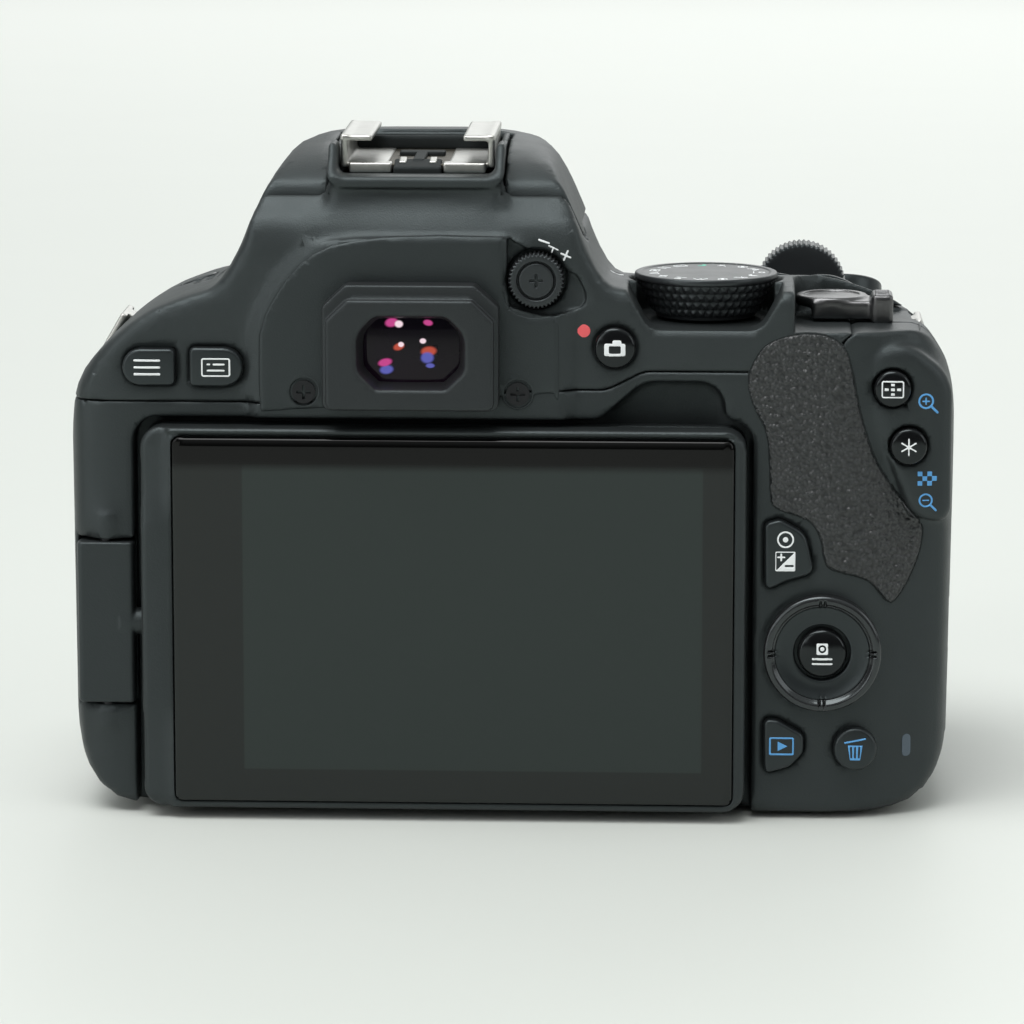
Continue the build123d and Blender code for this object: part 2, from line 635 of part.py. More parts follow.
# ---------------------------------------------------------------- pop-up flash
def flash_head():
    """Cap over the front of the hump with an arm down each side of the shoe."""
    cap = hump(0) & flash_region(0, FLASH_INNER_Y)
    inside = hump(1.8) & block(-40, 40, FLASH_Y + 7, 60, FLASH_BASE_Z + 1.6, 110)
    inside -= block(-SHOE_BLOCK_X - 2.2, SHOE_BLOCK_X + 2.2, -60, FLASH_INNER_Y + 1.8, 60, 110)
    cap -= inside
    window = (-LAMP_X - 0.1, LAMP_X + 0.1, LAMP_Y0 - 0.1, LAMP_Y1 + 0.1)
    cap -= block(*window, FLASH_BASE_Z - 1, FLASH_BASE_Z + 2)
    for side in (-1, 1):
        x0, x1 = sorted((side * (SHOE_BLOCK_X - 3.0), side * (SHOE_BLOCK_X + 0.5)))
        cap += rod_x(1.2, FLASH_Y, FLASH_Z, x0, x1)
    return cap


LAMP_X, LAMP_Y0, LAMP_Y1 = 16.8, 12.0, 22.0


def flash_lamp():
    """Reflector trough with its tube and the clear window that closes it."""
    low, wall = FLASH_BASE_Z + 0.1, 1.0
    trough = block(-LAMP_X, LAMP_X, LAMP_Y0, LAMP_Y1, low, low + 4.6)
    trough -= block(-LAMP_X + wall, LAMP_X - wall, LAMP_Y0 + wall, LAMP_Y1 - wall, 70, low + 3.6)
    window = block(
        -LAMP_X + wall + 0.05, LAMP_X - wall - 0.05, LAMP_Y0 + wall + 0.05, LAMP_Y1 - wall - 0.05,
        low, low + 1.0,
    )
    tube = rod_x(1.2, (LAMP_Y0 + LAMP_Y1) / 2, low + 2.3, -LAMP_X + 2, LAMP_X - 2)
    return Compound([trough, window, tube])


# ---------------------------------------------------------------- top controls
def mode_dial():
    crown = rod_z(DIAL_R, DIAL_X, DIAL_Y, DIAL_Z0 + 0.9, DIAL_Z1)
    crown = chamfer(crown.faces().sort_by(Axis.Z)[-1].edges(), 0.8)
    foot = Pos(DIAL_X, DIAL_Y, DIAL_Z0 + 0.45) * Cone(DIAL_R - 2.0, DIAL_R - 0.9, 0.9)
    dial = crown + foot
    for spot in PolarLocations(DIAL_R, 36):
        x, y = DIAL_X + spot.position.X, DIAL_Y + spot.position.Y
        dial -= rod_z(0.42, x, y, DIAL_Z0 - 1, DIAL_Z1 - 1.6)
    return dial + rod_z(2.0, DIAL_X, DIAL_Y, 64.6, DIAL_Z0 + 0.1)


def main_dial():
    wheel = rod_y(WHEEL_R, WHEEL_X, WHEEL_Z, WHEEL_Y0, WHEEL_Y1)
    wheel = chamfer(wheel.edges().filter_by(GeomType.CIRCLE), 0.6)
    for spot in PolarLocations(WHEEL_R, 28):
        x, z = WHEEL_X + spot.position.X, WHEEL_Z + spot.position.Y
        wheel -= rod_y(0.36, x, z, WHEEL_Y0 - 1, WHEEL_Y1 + 1)
    return wheel - rod_y(1.25, WHEEL_X, WHEEL_Z, 0, 40)


def main_dial_axle():
    return rod_y(1.2, WHEEL_X, WHEEL_Z, WHEEL_Y0 - 1.6, WHEEL_Y1 + 1.6)


def power_lever():
    disc = rod_z(LEVER_R, LEVER_X, LEVER_Y, LEVER_Z, LEVER_Z + 2.2)
    arm = block(LEVER_X, LEVER_REACH, LEVER_Y - 2.0, LEVER_Y + 2.0, LEVER_Z, LEVER_Z + 1.6)
    tab = block(LEVER_REACH - 1.8, LEVER_REACH, LEVER_Y - 3.0, LEVER_Y + 3.0, LEVER_Z, LEVER_Z + 2.4)
    return disc + arm + tab + rod_z(1.6, LEVER_X, LEVER_Y, 66.8, LEVER_Z)


def shutter_button():
    cap = shutter_rod(SHUTTER["r"], -1.6, 1.5)
    cap = fillet(cap.faces().sort_by(Axis((0, 0, 0), shutter_plane().z_dir))[-1].edges(), 0.9)
    cap -= shutter_plane() * (Pos(0, 0, 14.6) * Sphere(13.5))
    return cap + shutter_rod(SHUTTER["r"] + LIP, -4.6, -3.6) + shutter_rod(2.4, -3.7, -1.5)


def top_button(spec):
    cap = top_box(spec, 0, 68.5, TOP_BUTTON_Z + 1.4)
    return cap + top_box(spec, LIP, 67.5, 68.6)


def wireless_button():
    x, y, r = WIRELESS["x"], WIRELESS["y"], WIRELESS["r"]
    return rod_z(r, x, y, 68.0, 72.9) + rod_z(r + LIP, x, y, 67.2, 68.1)


def flash_button():
    x, z, r = FLASH_KEY["x"], FLASH_KEY["z"], FLASH_KEY["r"]
    cap = rod_y(r, x, z, Y_BODY_FRONT - WALL - 0.4, Y_BODY_FRONT + 1.4)
    return cap + rod_y(r + LIP, x, z, Y_BODY_FRONT - WALL - 1.3, Y_BODY_FRONT - WALL - 0.4)


# ---------------------------------------------------------------- lens mount and mirror box
MOUNT_SCREW_R = 29.9
PIN_ANGLE = 188.0
RING_Y0 = FLANGE_Y - 2.1


def lens_mount_ring():
    """Bayonet ring: flange, register bore and three inward lugs."""
    ring = rod_y(MOUNT_R, 0, LENS_Z, RING_Y0, FLANGE_Y)
    ring += rod_y(THROAT_R + 1.1, 0, LENS_Z, RING_Y0 - 3.2, RING_Y0)
    ring -= rod_y(THROAT_R, 0, LENS_Z, 0, 60)
    for angle in (80, 200, 320):
        lug = rod_y(THROAT_R + 0.3, 0, LENS_Z, RING_Y0 - 3.2, RING_Y0 - 1.8)
        lug -= rod_y(THROAT_R - 2.4, 0, LENS_Z, 0, 60)
        wedge = along_y(make_face(Polyline((0, 0), (60, -22), (60, 22), close=True)), 0, 60)
        ring += lug & (Pos(0, 0, LENS_Z) * Rot(0, angle, 0) * wedge)
    for x, z in screw_spots():
        ring -= rod_y(0.95, x, z, 0, 60)
    x, z = pin_spot()
    return ring - rod_y(1.3 + RUN, x, z, 0, 60)


def polar(radius, angle):
    spot = Vector(radius, 0, 0).rotate(Axis.Z, angle)
    return spot.X, LENS_Z + spot.Y


def screw_spots():
    return [polar(MOUNT_SCREW_R, angle) for angle in (38, 142, 218, 322)]


def pin_spot():
    return polar(MOUNT_SCREW_R, PIN_ANGLE)


def cross_head(radius, depth, x, z, y):
    """Cross-recessed countersunk head, seen from the front, with its shank behind."""
    screw = rod_y(radius, x, z, y - 0.8, y) + rod_y(radius * 0.5, x, z, y - depth, y - 0.8)
    slot = block(-radius * 0.6, radius * 0.6, -0.5, 0.2, -0.18, 0.18)
    slot += block(-0.18, 0.18, -0.5, 0.2, -radius * 0.6, radius * 0.6)
    return screw - Pos(x, y, z) * slot


def mount_screws():
    return Compound([cross_head(0.9, 1.9, x, z, FLANGE_Y - 0.1) for x, z in screw_spots()])


def lens_lock_pin():
    x, z = pin_spot()
    return rod_y(1.3, x, z, RING_Y0 - 2.6, FLANGE_Y + 1.3) + rod_y(1.65, x, z, RING_Y0 - 3.4, RING_Y0 - 2.5)


def lens_release_button():
    cap = rod_y(RELEASE_R, RELEASE_X, RELEASE_Z, Y_BODY_FRONT - WALL - 1.0, Y_BODY_FRONT + 3.0)
    cap = fillet(cap.faces().sort_by(Axis.Y)[-1].edges(), 0.8)
    y = Y_BODY_FRONT - WALL - 1.0
    return cap + rod_y(RELEASE_R + LIP, RELEASE_X, RELEASE_Z, y - 1.0, y)


BOX_X, BOX_Z0, BOX_Z1 = 19.5, 21.0, 57.0
BOX_Y0, BOX_Y1 = 3.0, 33.4
MIRROR_Y, MIRROR_Z = 6.2, 54.2  # main mirror pivot
MIRROR_LEN, MIRROR_T = 27.0, 0.9
GATE_X, GATE_Z = 11.6, 8.0  # half size of the image gate


def mirror_box():
    box = block(-BOX_X - 1.5, BOX_X + 1.5, BOX_Y0, BOX_Y1, BOX_Z0, BOX_Z1)
    box -= block(-BOX_X, BOX_X, BOX_Y0 + 1.4, 60, BOX_Z0 + 1.5, BOX_Z1 - 1.4)
    box -= block(-GATE_X, GATE_X, 0, 20, LENS_Z - GATE_Z, LENS_Z + GATE_Z)
    box -= block(-14.5, 14.5, 9.0, 31.0, 50, 60)
    return box - rod_x(0.75, MIRROR_Y, MIRROR_Z, -30, 30)


def slanted(y, z, angle):
    """Plane whose x runs down a mirror, and whose z is across it."""
    return Plane(origin=(0, y, z), x_dir=Vector(0, 1, 0).rotate(Axis.X, angle), z_dir=(1, 0, 0))


def main_mirror():
    sheet = slanted(MIRROR_Y, MIRROR_Z, -45) * (
        Pos(MIRROR_LEN / 2 + 1.0, 0) * Rectangle(MIRROR_LEN, MIRROR_T)
    )
    mirror = extrude(sheet, 16.5, both=True)
    mirror += rod_x(1.15, MIRROR_Y, MIRROR_Z, -16.5, 16.5)
    return mirror - rod_x(0.7 + RUN, MIRROR_Y, MIRROR_Z, -30, 30)


def mirror_hinge_pin():
    return rod_x(0.7, MIRROR_Y, MIRROR_Z, -BOX_X - 1.4, BOX_X + 1.4)


SUB_AT = 15.0  # distance of the sub-mirror's pivot down the main mirror
SUB_DROP = 1.5


def sub_pivot():
    down = Vector(0, 1, 0).rotate(Axis.X, -45)
    behind = Vector(0, 1, 0).rotate(Axis.X, -135)
    spot = down * SUB_AT + behind * SUB_DROP
    return MIRROR_Y + spot.Y, MIRROR_Z + spot.Z


def sub_mirror():
    y, z = sub_pivot()
    sheet = slanted(y, z, -135) * (Pos(5.0, 0) * Rectangle(9.0, 0.5))
    return extrude(sheet, 7.0, both=True) + rod_x(0.6, y, z, -7.0, 7.0)


def focusing_screen():
    return block(-15.5, 15.5, 7.5, 32.5, BOX_Z1 + 0.05, BOX_Z1 + 1.3)


def pentamirror():
    """Roof prism: flat below, a sloping front face and the two roof faces."""
    side = outline((3.0, 58.6, 0), (32.5, 58.6, 0), (32.5, 63.5, 0), (21.0, 77.4, 0), (3.0, 72.0, 0))
    end = outline((-15.5, 58.6, 0), (15.5, 58.6, 0), (15.5, 66.0, 0), (0, 77.5, 0), (-15.5, 66.0, 0))
    return along_x(side, -16, 16) & along_y(end, 0, 40)


def viewfinder_carrier():
    """Open frame that holds the roof prism over the mirror box."""
    frame = block(-18.5, 18.5, 3.2, 33.0, BOX_Z1 + 1.4, BOX_Z1 + 4.6)
    return frame - block(-15.6, 15.6, 2.9, 32.6, 50, 90)


# ---------------------------------------------------------------- shutter, sensor and boards
def shutter_frame():
    frame = block(-26, 26, 0.9, 2.9, 19.5, 56.5)
    return frame - block(-GATE_X - 0.6, GATE_X + 0.6, 0, 4, LENS_Z - GATE_Z - 0.4, LENS_Z + GATE_Z + 0.4)




def shutter_curtain():
    """Five overlapping blades drawn as one stack, closed over the gate."""
    blades = []
    for i in range(5):
        z = LENS_Z - 8.9 + i * 3.5
        blades.append(block(-13.4, 13.4, 0.1, 0.65, z, z + 3.45))
    stack = block(-14.0, 14.0, -0.35, 0.1, LENS_Z - 9.0, LENS_Z + 8.7)
    for blade in blades:
        stack += blade
    return stack


def image_sensor():
    return block(-15.5, 15.5, SENSOR_Y - 1.2, SENSOR_Y, LENS_Z - 11.5, LENS_Z + 11.5)


def sensor_filter():
    return block(-12.6, 12.6, SENSOR_Y + 0.05, SENSOR_Y + 1.3, LENS_Z - 9, LENS_Z + 9)


def sensor_plate():
    return block(-20, 22, SENSOR_Y - 2.6, SENSOR_Y - 1.25, 20, 54)


def main_board():
    board = block(-38, 44, -11.0, -9.9, 5.0, 53.0)
    chips = ((-22, 34, 15, 15, 1.4), (2, 40, 13, 13, 1.2), (24, 26, 10, 12, 1.2), (-6, 14, 8, 6, 1))
    for x, z, w, h, t in chips:
        board += block(x - w / 2, x + w / 2, -9.9, -9.9 + t, z - h / 2, z + h / 2)
    return board


def chassis():
    """Pressed metal frame round the mirror box."""
    frame = block(-32, 44.0, 4.5, 11.0, 7.2, 57.0)
    frame -= block(-BOX_X - 1.7, BOX_X + 1.7, 0, 20, BOX_Z0 - 0.2, 60)
    return frame - block(-30, -22.5, 0, 20, 12, 52)


def tripod_socket():
    socket = rod_z(6.5, 0, 0, BASE_T + 0.1, BASE_T + 1.2) + rod_z(4.6, 0, 0, 0.0, 7.0)
    return socket - rod_z(SOCKET_R, 0, 0, -1, SOCKET_DEPTH)


SOCKET_R, SOCKET_DEPTH = 2.6, 5.5


def base_plate():
    face = outline(
        (BASE["x0"], BASE["y0"], 2), (BASE["x1"], BASE["y0"], 2), (BASE["x1"], BASE["y1"], 2),
        (BASE["x0"], BASE["y1"], 2),
    )
    plate_ = along_z(face, 0, BASE_T) - rod_z(4.7, 0, 0, -1, 5)
    for x, y in BASE_SCREWS:
        plate_ -= rod_z(1.65, x, y, -1, 1.1) + rod_z(0.95, x, y, -1, 5)
    return plate_


BASE_SCREWS = ((-34, -8.5), (-34, 11), (40, -8.5), (40, 11))


def base_screws():
    screws = []
    for x, y in BASE_SCREWS:
        screw = rod_z(1.5, x, y, 0.2, 1.0) + rod_z(0.85, x, y, 1.0, 4.0)
        slot = block(-0.9, 0.9, -0.17, 0.17, -1, 0.7) + block(-0.17, 0.17, -0.9, 0.9, -1, 0.7)
        screws.append(screw - Pos(x, y, 0) * slot)
    return Compound(screws)


# ---------------------------------------------------------------- battery bay
BATTERY = dict(x0=49.8, x1=63.8, y0=0.6, y1=33.6, z0=3.2, z1=48.7)


def battery():
    b = BATTERY
    cell = block(b["x0"], b["x1"], b["y0"], b["y1"], b["z0"], b["z1"])
    return fillet(cell.edges().filter_by(Axis.Z), 1.6)


def memory_card():
    card = block(47.2, 49.3, -4.0, 20.0, 4.0, 36.0)
    return card - (Pos(48, -4, 36) * Rot(45, 0, 0) * Box(10, 4, 4))


def door_outline():
    d = DOOR
    return outline(
        (d["x0"], d["y0"], 0.5),
        (d["x1"], d["y0"], DOOR_R),
        (d["x1"], d["y1"], DOOR_R),
        (d["x0"], d["y1"], 0.5),
    )


def battery_door():
    d = DOOR
    door = along_z(door_outline(), 0.05, DOOR_T) & main_block(0.05)
    well = block(LATCH_X - 3.2, LATCH_X + 3.2, LATCH_Y - 2.7, LATCH_Y + 2.7, -1, 1.2)
    barrel = rod_y(DOOR_HINGE_R, DOOR_HINGE_X, DOOR_HINGE_Z, 8.0, 30.0)
    web = block(DOOR_HINGE_X, d["x0"] + 1.2, 8.0, 30.0, 0.9, DOOR_T)
    door -= rod_y(DOOR_SWEEP_R, DOOR_HINGE_X, DOOR_HINGE_Z, -10, 50)
    return door + barrel + web - rod_y(0.75, DOOR_HINGE_X, DOOR_HINGE_Z, 0, 50) - well


def battery_door_pin():
    return rod_y(0.7, DOOR_HINGE_X, DOOR_HINGE_Z, 5.0, 33.0)


LATCH_X, LATCH_Y = 60.4, 20.0


def battery_door_latch():
    thumb = block(LATCH_X - 1.9, LATCH_X + 1.9, LATCH_Y - 2.5, LATCH_Y + 2.5, 0.15, 1.15)
    for i in range(3):
        x = LATCH_X - 1.3 + i * 1.0
        thumb -= block(x, x + 0.4, LATCH_Y - 2.0, LATCH_Y + 2.0, 0, 0.45)
    return thumb


# ---------------------------------------------------------------- flank covers and strap lugs
def left_cover():
    d = LEFT_DOOR
    flap = block(X_LEFT, X_LEFT + FLANK_T, d["y0"], d["y1"], d["z0"], d["z1"]) & main_block(0.0)
    return flap + rod_z(0.7, X_LEFT + 0.75, d["y1"] + 0.2, d["z0"], d["z1"])


def right_cover():
    d = RIGHT_DOOR
    flap = block(X_RIGHT - FLANK_T, X_RIGHT, d["y0"], d["y1"], d["z0"], d["z1"]) & main_block(0.0)
    return flap + rod_z(0.7, X_RIGHT - 0.75, d["y1"] + 0.2, d["z0"], d["z1"])


def connectors():
    """Sockets behind the left cover."""
    sockets = []
    for z, w, h in ((19, 6.0, 4.0), (29, 6.0, 4.0), (40, 6.6, 6.6)):
        shell_ = block(X_LEFT + 4.4, X_LEFT + 10, 2.0 - w / 2, 2.0 + w / 2, z - h / 2, z + h / 2)
        mouth = block(X_LEFT, X_LEFT + 8, 2.6 - w / 2, 1.4 + w / 2, z + 0.6 - h / 2, z - 0.6 + h / 2)
        sockets.append(shell_ - mouth)
    return Compound(sockets)


# ---------------------------------------------------------------- strap lugs
LUG_Y, LUG_T = 1.5, 1.0
LUG_LENGTH, LUG_WIDTH, LUG_RISE = 5.8, 9.2, 1.0
LUG_FOOT_DEPTH = 2.4
STRAP_LUGS = ((42.0, 68.0, 60, True), (68.9, 67.6, 72, False))  # x, z, slope, whether mirrored


def strap_lug(x, z, slope, mirrored, grow):
    """Slotted strip lying along the shoulder, with a foot let into the cover at each end."""
    half = LUG_WIDTH / 2 + grow
    strip = block(-grow, LUG_LENGTH + grow, -half, half, LUG_RISE, LUG_RISE + LUG_T)
    strip -= block(1.5, LUG_LENGTH - 1.5, -3.4, 3.4, 0, 5)
    for s0, s1 in ((0, 1.0), (LUG_LENGTH - 1.0, LUG_LENGTH)):
        low, high = -LUG_FOOT_DEPTH - grow, LUG_RISE + LUG_T / 2
        strip += block(s0 - grow, s1 + grow, -2.3 - grow, 2.3 + grow, low, high)
    lug = Pos(x, LUG_Y, z) * Rot(0, slope, 0) * strip
    return mirror(lug, about=Plane.YZ) if mirrored else lug


# ---------------------------------------------------------------- vari-angle screen
AXLE_R, COLLAR_R = 1.9, 2.4
SHELL_T = 1.5
SCREEN_SPLIT_Y = -18.0  # parting plane between the module's back shell and its frame
GLASS = dict(x0=-33.3, x1=44.0, z0=2.8, z1=53.9)
PANEL = dict(x0=-26.5, x1=42.0, z0=5.2, z1=51.5)
AXLE_X0, AXLE_X1 = -39.6, -33.6


def module(grow, y0, y1):
    s = SCREEN
    return plate(
        s["x0"] - grow, s["x1"] + grow, s["z0"] - grow, s["z1"] + grow, SCREEN_R + grow, y0, y1
    )


def tilt_bore():
    """Room for the tilt axle and its collar inside the module."""
    bore = rod_x(AXLE_R + RUN, SWING_Y, TILT_Z, AXLE_X0 - 1, AXLE_X1 + 0.1)
    return bore + rod_x(COLLAR_R + RUN, SWING_Y, TILT_Z, AXLE_X1 - 1.3, AXLE_X1 + 0.1)


def screen_back_shell():
    tub = module(0, SCREEN_SPLIT_Y + 0.05, SCREEN_Y1)
    tub = fillet(tub.faces().sort_by(Axis.Y)[-1].edges(), 1.0)
    inner = block(-32.0, SCREEN["x1"] - SHELL_T, -40, SCREEN_Y1 - SHELL_T, 3.0, SCREEN["z1"] - SHELL_T)
    return tub - inner - tilt_bore()


def screen_front_frame():
    frame = module(0, SCREEN_Y0, SCREEN_SPLIT_Y)
    frame = fillet(frame.faces().sort_by(Axis.Y)[0].edges(), 0.8)
    g = GLASS
    frame -= plate(g["x0"] - 0.1, g["x1"] + 0.1, g["z0"] - 0.1, g["z1"] + 0.1, 1.6, -40, SCREEN_Y0 + 1.3)
    frame -= block(-32.0, 43.0, -40, 0, 4.2, 52.6)
    return frame - tilt_bore()


def screen_glass():
    g = GLASS
    return plate(g["x0"], g["x1"], g["z0"], g["z1"], 1.5, SCREEN_Y0 + 0.1, SCREEN_Y0 + 1.2)


def lcd_panel():
    p = PANEL
    return block(p["x0"], p["x1"], SCREEN_Y0 + 1.5, SCREEN_Y0 + 4.2, p["z0"], p["z1"])


def screen_hinge():
    """Knuckle on the swing axis with the hollow axle that the screen tilts on."""
    knuckle = rod_z(KNUCKLE_R, SWING_X, SWING_Y, KNUCKLE_Z0, KNUCKLE_Z1)
    knuckle -= block(-60, -30, -40, Y_BACK - 0.1, 0, 60)
    knuckle += block(SWING_X, AXLE_X0, SWING_Y - 2.4, SWING_Y + 2.4, TILT_Z - 5.2, TILT_Z + 5.2)
    knuckle += rod_x(AXLE_R, SWING_Y, TILT_Z, AXLE_X0 - 1.5, AXLE_X1)
    knuckle += rod_x(COLLAR_R, SWING_Y, TILT_Z, AXLE_X1 - 1.2, AXLE_X1)
    knuckle -= rod_x(0.9, SWING_Y, TILT_Z, SWING_X + 1.6, 0)
    return knuckle - rod_z(0.9 + RUN, SWING_X, SWING_Y, 0, 60)


def swing_pins():
    low = rod_z(0.9, SWING_X, SWING_Y, KNUCKLE_Z0 - 3.0, KNUCKLE_Z0 + 5.0)
    high = rod_z(0.9, SWING_X, SWING_Y, KNUCKLE_Z1 - 5.0, KNUCKLE_Z1 + 3.0)
    return Compound([low, high])


# ---------------------------------------------------------------- small fixed pieces
def access_lamp():
    return plate(67.75, 68.85, 8.25, 11.55, 0.5, -19.0, -16.6)


def focus_lamp():
    return rod_y(2.6, *FOCUS_LAMP, Y_BODY_FRONT - 1.6, Y_BODY_FRONT + 0.4)


def panel_screws():
    screws = []
    for x, z in PANEL_SCREWS:
        screw = rod_y(1.6, x, z, PANEL_Y0 + 0.25, PANEL_Y0 + 1.2) + rod_y(0.85, x, z, PANEL_Y0 + 1.2, -17.4)
        slot = plate(-1.0, 1.0, -0.2, 0.2, 0.05, -30, PANEL_Y0 + 0.7)
        slot += plate(-0.2, 0.2, -1.0, 1.0, 0.05, -30, PANEL_Y0 + 0.7)
        screws.append(screw - Pos(x, 0, z) * slot)
    return Compound(screws)


def eyepiece_panel():
    panel = along_y(panel_outline(), PANEL_Y0, PANEL_Y1 - 0.05)
    panel -= plate(-8.3, 7.9, 60.3, 72.1, 3.3, -40, -10)
    for x, z in PANEL_SCREWS:
        panel -= rod_y(1.75, x, z, -40, PANEL_Y0 + 1.25) + rod_y(0.95, x, z, -40, -10)
    return panel - rod_y(KNOB_R + 0.6, KNOB_X, KNOB_Z, -40, -10)


# ---------------------------------------------------------------- assembly
rear_cover, front_cover, top_cover = covers()

parts = {
    "rear_cover": rear_cover,
    "front_cover": front_cover,
    "top_cover": top_cover,
    "base_plate": base_plate(),
    "tripod_socket": tripod_socket(),
    "screws": Compound([base_screws(), panel_screws(), mount_screws()]),
    "pivot_pins": Compound([main_dial_axle(), mirror_hinge_pin(), battery_door_pin(), swing_pins()]),
    "grip_rubbers": Compound([thumb_pad(0), grip_skin(-0.05)]),
    "strap_lugs": Compound([strap_lug(*spec, 0) for spec in STRAP_LUGS]),
    "eyepiece_panel": eyepiece_panel(),
    "eyepiece_frame": eyepiece_frame(),
    "eyepiece_window": eyepiece_window(),
    "eyepiece_lens": Compound([eyepiece_cell(), eyepiece_lens()]),
    "dioptre_knob": dioptre_knob(),
    "hot_shoe_rails": hot_shoe_rails(),
    "hot_shoe_base": Compound([hot_shoe_base(), hot_shoe_contacts()]),
    "flash_head": flash_head(),
    "flash_lamp": flash_lamp(),
    "mode_dial": mode_dial(),
    "main_dial": main_dial(),
    "power_lever": power_lever(),
    "shutter_button": shutter_button(),
    "iso_button": top_button(ISO),
    "display_button": top_button(DISPLAY),
    "wireless_button": wireless_button(),
    "flash_button": flash_button(),
    "cross_key_ring": cross_key_ring(),
    "cross_key_gimbal": cross_key_gimbal(),
    "set_button": set_button(),
    "lamps": Compound([access_lamp(), focus_lamp()]),
    "lens_mount_ring": lens_mount_ring(),
    "lens_lock_pin": lens_lock_pin(),
    "lens_release_button": lens_release_button(),
    "mirror_box": mirror_box(),
    "main_mirror": main_mirror(),
    "sub_mirror": sub_mirror(),
    "viewfinder_prism": Compound([pentamirror(), focusing_screen(), viewfinder_carrier()]),
    "shutter_frame": shutter_frame(),
    "shutter_curtain": shutter_curtain(),
    "image_sensor": Compound([sensor_plate(), image_sensor(), sensor_filter()]),
    "main_board": Compound([main_board(), connectors()]),
    "chassis": chassis(),
    "battery": battery(),
    "memory_card": memory_card(),
    "battery_door": battery_door(),
    "battery_door_latch": battery_door_latch(),
    "left_cover": left_cover(),
    "right_cover": right_cover(),
    "screen_hinge": screen_hinge(),
    "screen_back_shell": screen_back_shell(),
    "screen_front_frame": screen_front_frame(),
    "screen_glass": Compound([screen_glass(), lcd_panel()]),
}
for name, (corners, proud) in BACK_BUTTONS.items():
    parts[name] = back_button(corners, proud)
for name, spec in ROUND_BUTTONS.items():
    parts[name] = round_button(*spec)

os.makedirs("parts", exist_ok=True)
for name, part in parts.items():
    part.label = name
    export_step(part, f"parts/{name}.step")
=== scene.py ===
"""Looks of the compact DSLR body: moulded covers, rubber, controls, glass and the small studio.

Shapes are signed distance fields in millimetres, sampled on a grid per piece and meshed.
A distance is negative inside. X runs to the grip, Y to the subject and Z up, as in the frame.
"""

import json
import math
import random
from functools import reduce

import bmesh
import bpy
import numpy as np
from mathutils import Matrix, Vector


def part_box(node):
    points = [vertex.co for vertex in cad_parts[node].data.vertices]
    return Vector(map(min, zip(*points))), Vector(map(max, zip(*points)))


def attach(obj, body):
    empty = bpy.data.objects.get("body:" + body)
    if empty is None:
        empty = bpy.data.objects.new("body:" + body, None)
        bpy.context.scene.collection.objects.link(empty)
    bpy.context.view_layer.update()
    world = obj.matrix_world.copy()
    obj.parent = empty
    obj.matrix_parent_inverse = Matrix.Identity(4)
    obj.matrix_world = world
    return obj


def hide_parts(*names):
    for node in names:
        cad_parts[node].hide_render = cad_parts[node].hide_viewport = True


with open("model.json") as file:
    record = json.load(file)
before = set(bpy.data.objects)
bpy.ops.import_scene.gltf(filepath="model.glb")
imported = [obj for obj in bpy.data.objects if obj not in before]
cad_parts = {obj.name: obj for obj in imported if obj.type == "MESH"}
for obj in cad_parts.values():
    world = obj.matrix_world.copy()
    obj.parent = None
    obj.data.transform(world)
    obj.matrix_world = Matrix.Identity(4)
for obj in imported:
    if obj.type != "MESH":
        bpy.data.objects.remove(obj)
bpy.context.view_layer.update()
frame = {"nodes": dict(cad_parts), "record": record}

import openvdb
from mathutils import Vector

MM = 0.001
BODY = "camera_body"
STEP = 0.3  # grid step of the large covers
FINE = 0.1  # grid step of the controls


# ------------------------------------------------------------------ distance fields
def cad(node):
    """Corners of a CAD node in millimetres: (x0, y0, z0), (x1, y1, z1)."""
    low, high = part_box(node)
    return np.array(low) / MM, np.array(high) / MM


class Grid:
    """Regular sample points between two corners, in millimetres."""

    def __init__(self, low, high, step):
        self.low = np.array(low, np.float32) - 2 * step
        self.step = step
        counts = np.ceil((np.array(high) + 2 * step - self.low) / step).astype(int) + 1
        x, y, z = (self.low[i] + step * np.arange(counts[i], dtype=np.float32) for i in range(3))
        self.X, self.Y, self.Z = x[:, None, None], y[None, :, None], z[None, None, :]


def both(r, *fields):
    """Intersection with its convex edges rounded by r."""
    peak = reduce(np.maximum, fields)
    if r <= 0:
        return peak
    return np.minimum(peak, -r) + np.sqrt(sum(np.maximum(f + r, 0) ** 2 for f in fields))


def union(*fields):
    return reduce(np.minimum, fields)


def join(r, a, b):
    """Union with its concave corner filled by radius r, which may vary over the grid."""
    ua, ub = np.maximum(r - a, 0), np.maximum(r - b, 0)
    return np.maximum(np.minimum(a, b), r) - np.sqrt(ua * ua + ub * ub)


def cut(r, a, b):
    return both(r, a, -b)


def arc_points(corners, steps=6):
    """Closed outline from (u, v, corner radius), with the rounded corners as short arcs."""
    pts = []
    n = len(corners)
    for i, (u, v, r) in enumerate(corners):
        here = np.array((u, v), float)
        if not r:
            pts.append(here)
            continue
        before = np.array(corners[i - 1][:2], float) - here
        after = np.array(corners[(i + 1) % n][:2], float) - here
        lb, la = np.linalg.norm(before), np.linalg.norm(after)
        before, after = before / lb, after / la
        half = math.acos(max(-1, min(1, before @ after))) / 2
        reach = min(r / math.tan(half), 0.49 * lb, 0.49 * la)
        a, c = here + before * reach, here + after * reach
        for k in range(steps + 1):
            t = k / steps
            pts.append((1 - t) ** 2 * a + 2 * t * (1 - t) * (0.18 * (a + c) / 2 + 0.82 * here) + t * t * c)
    return np.array(pts)


def smooth_loop(points, steps=5):
    """Closed curve through the points."""
    p = np.array(points, float)
    before, after, later = np.roll(p, 1, 0), np.roll(p, -1, 0), np.roll(p, -2, 0)
    rows = []
    for t in np.arange(steps) / steps:
        rows.append(p + 0.5 * t * (after - before) + t * t * (before - 2.5 * p + 2 * after - 0.5 * later)
                    + t**3 * (1.5 * (p - after) + 0.5 * (later - before)))
    return np.stack(rows, 1).reshape(-1, 2)


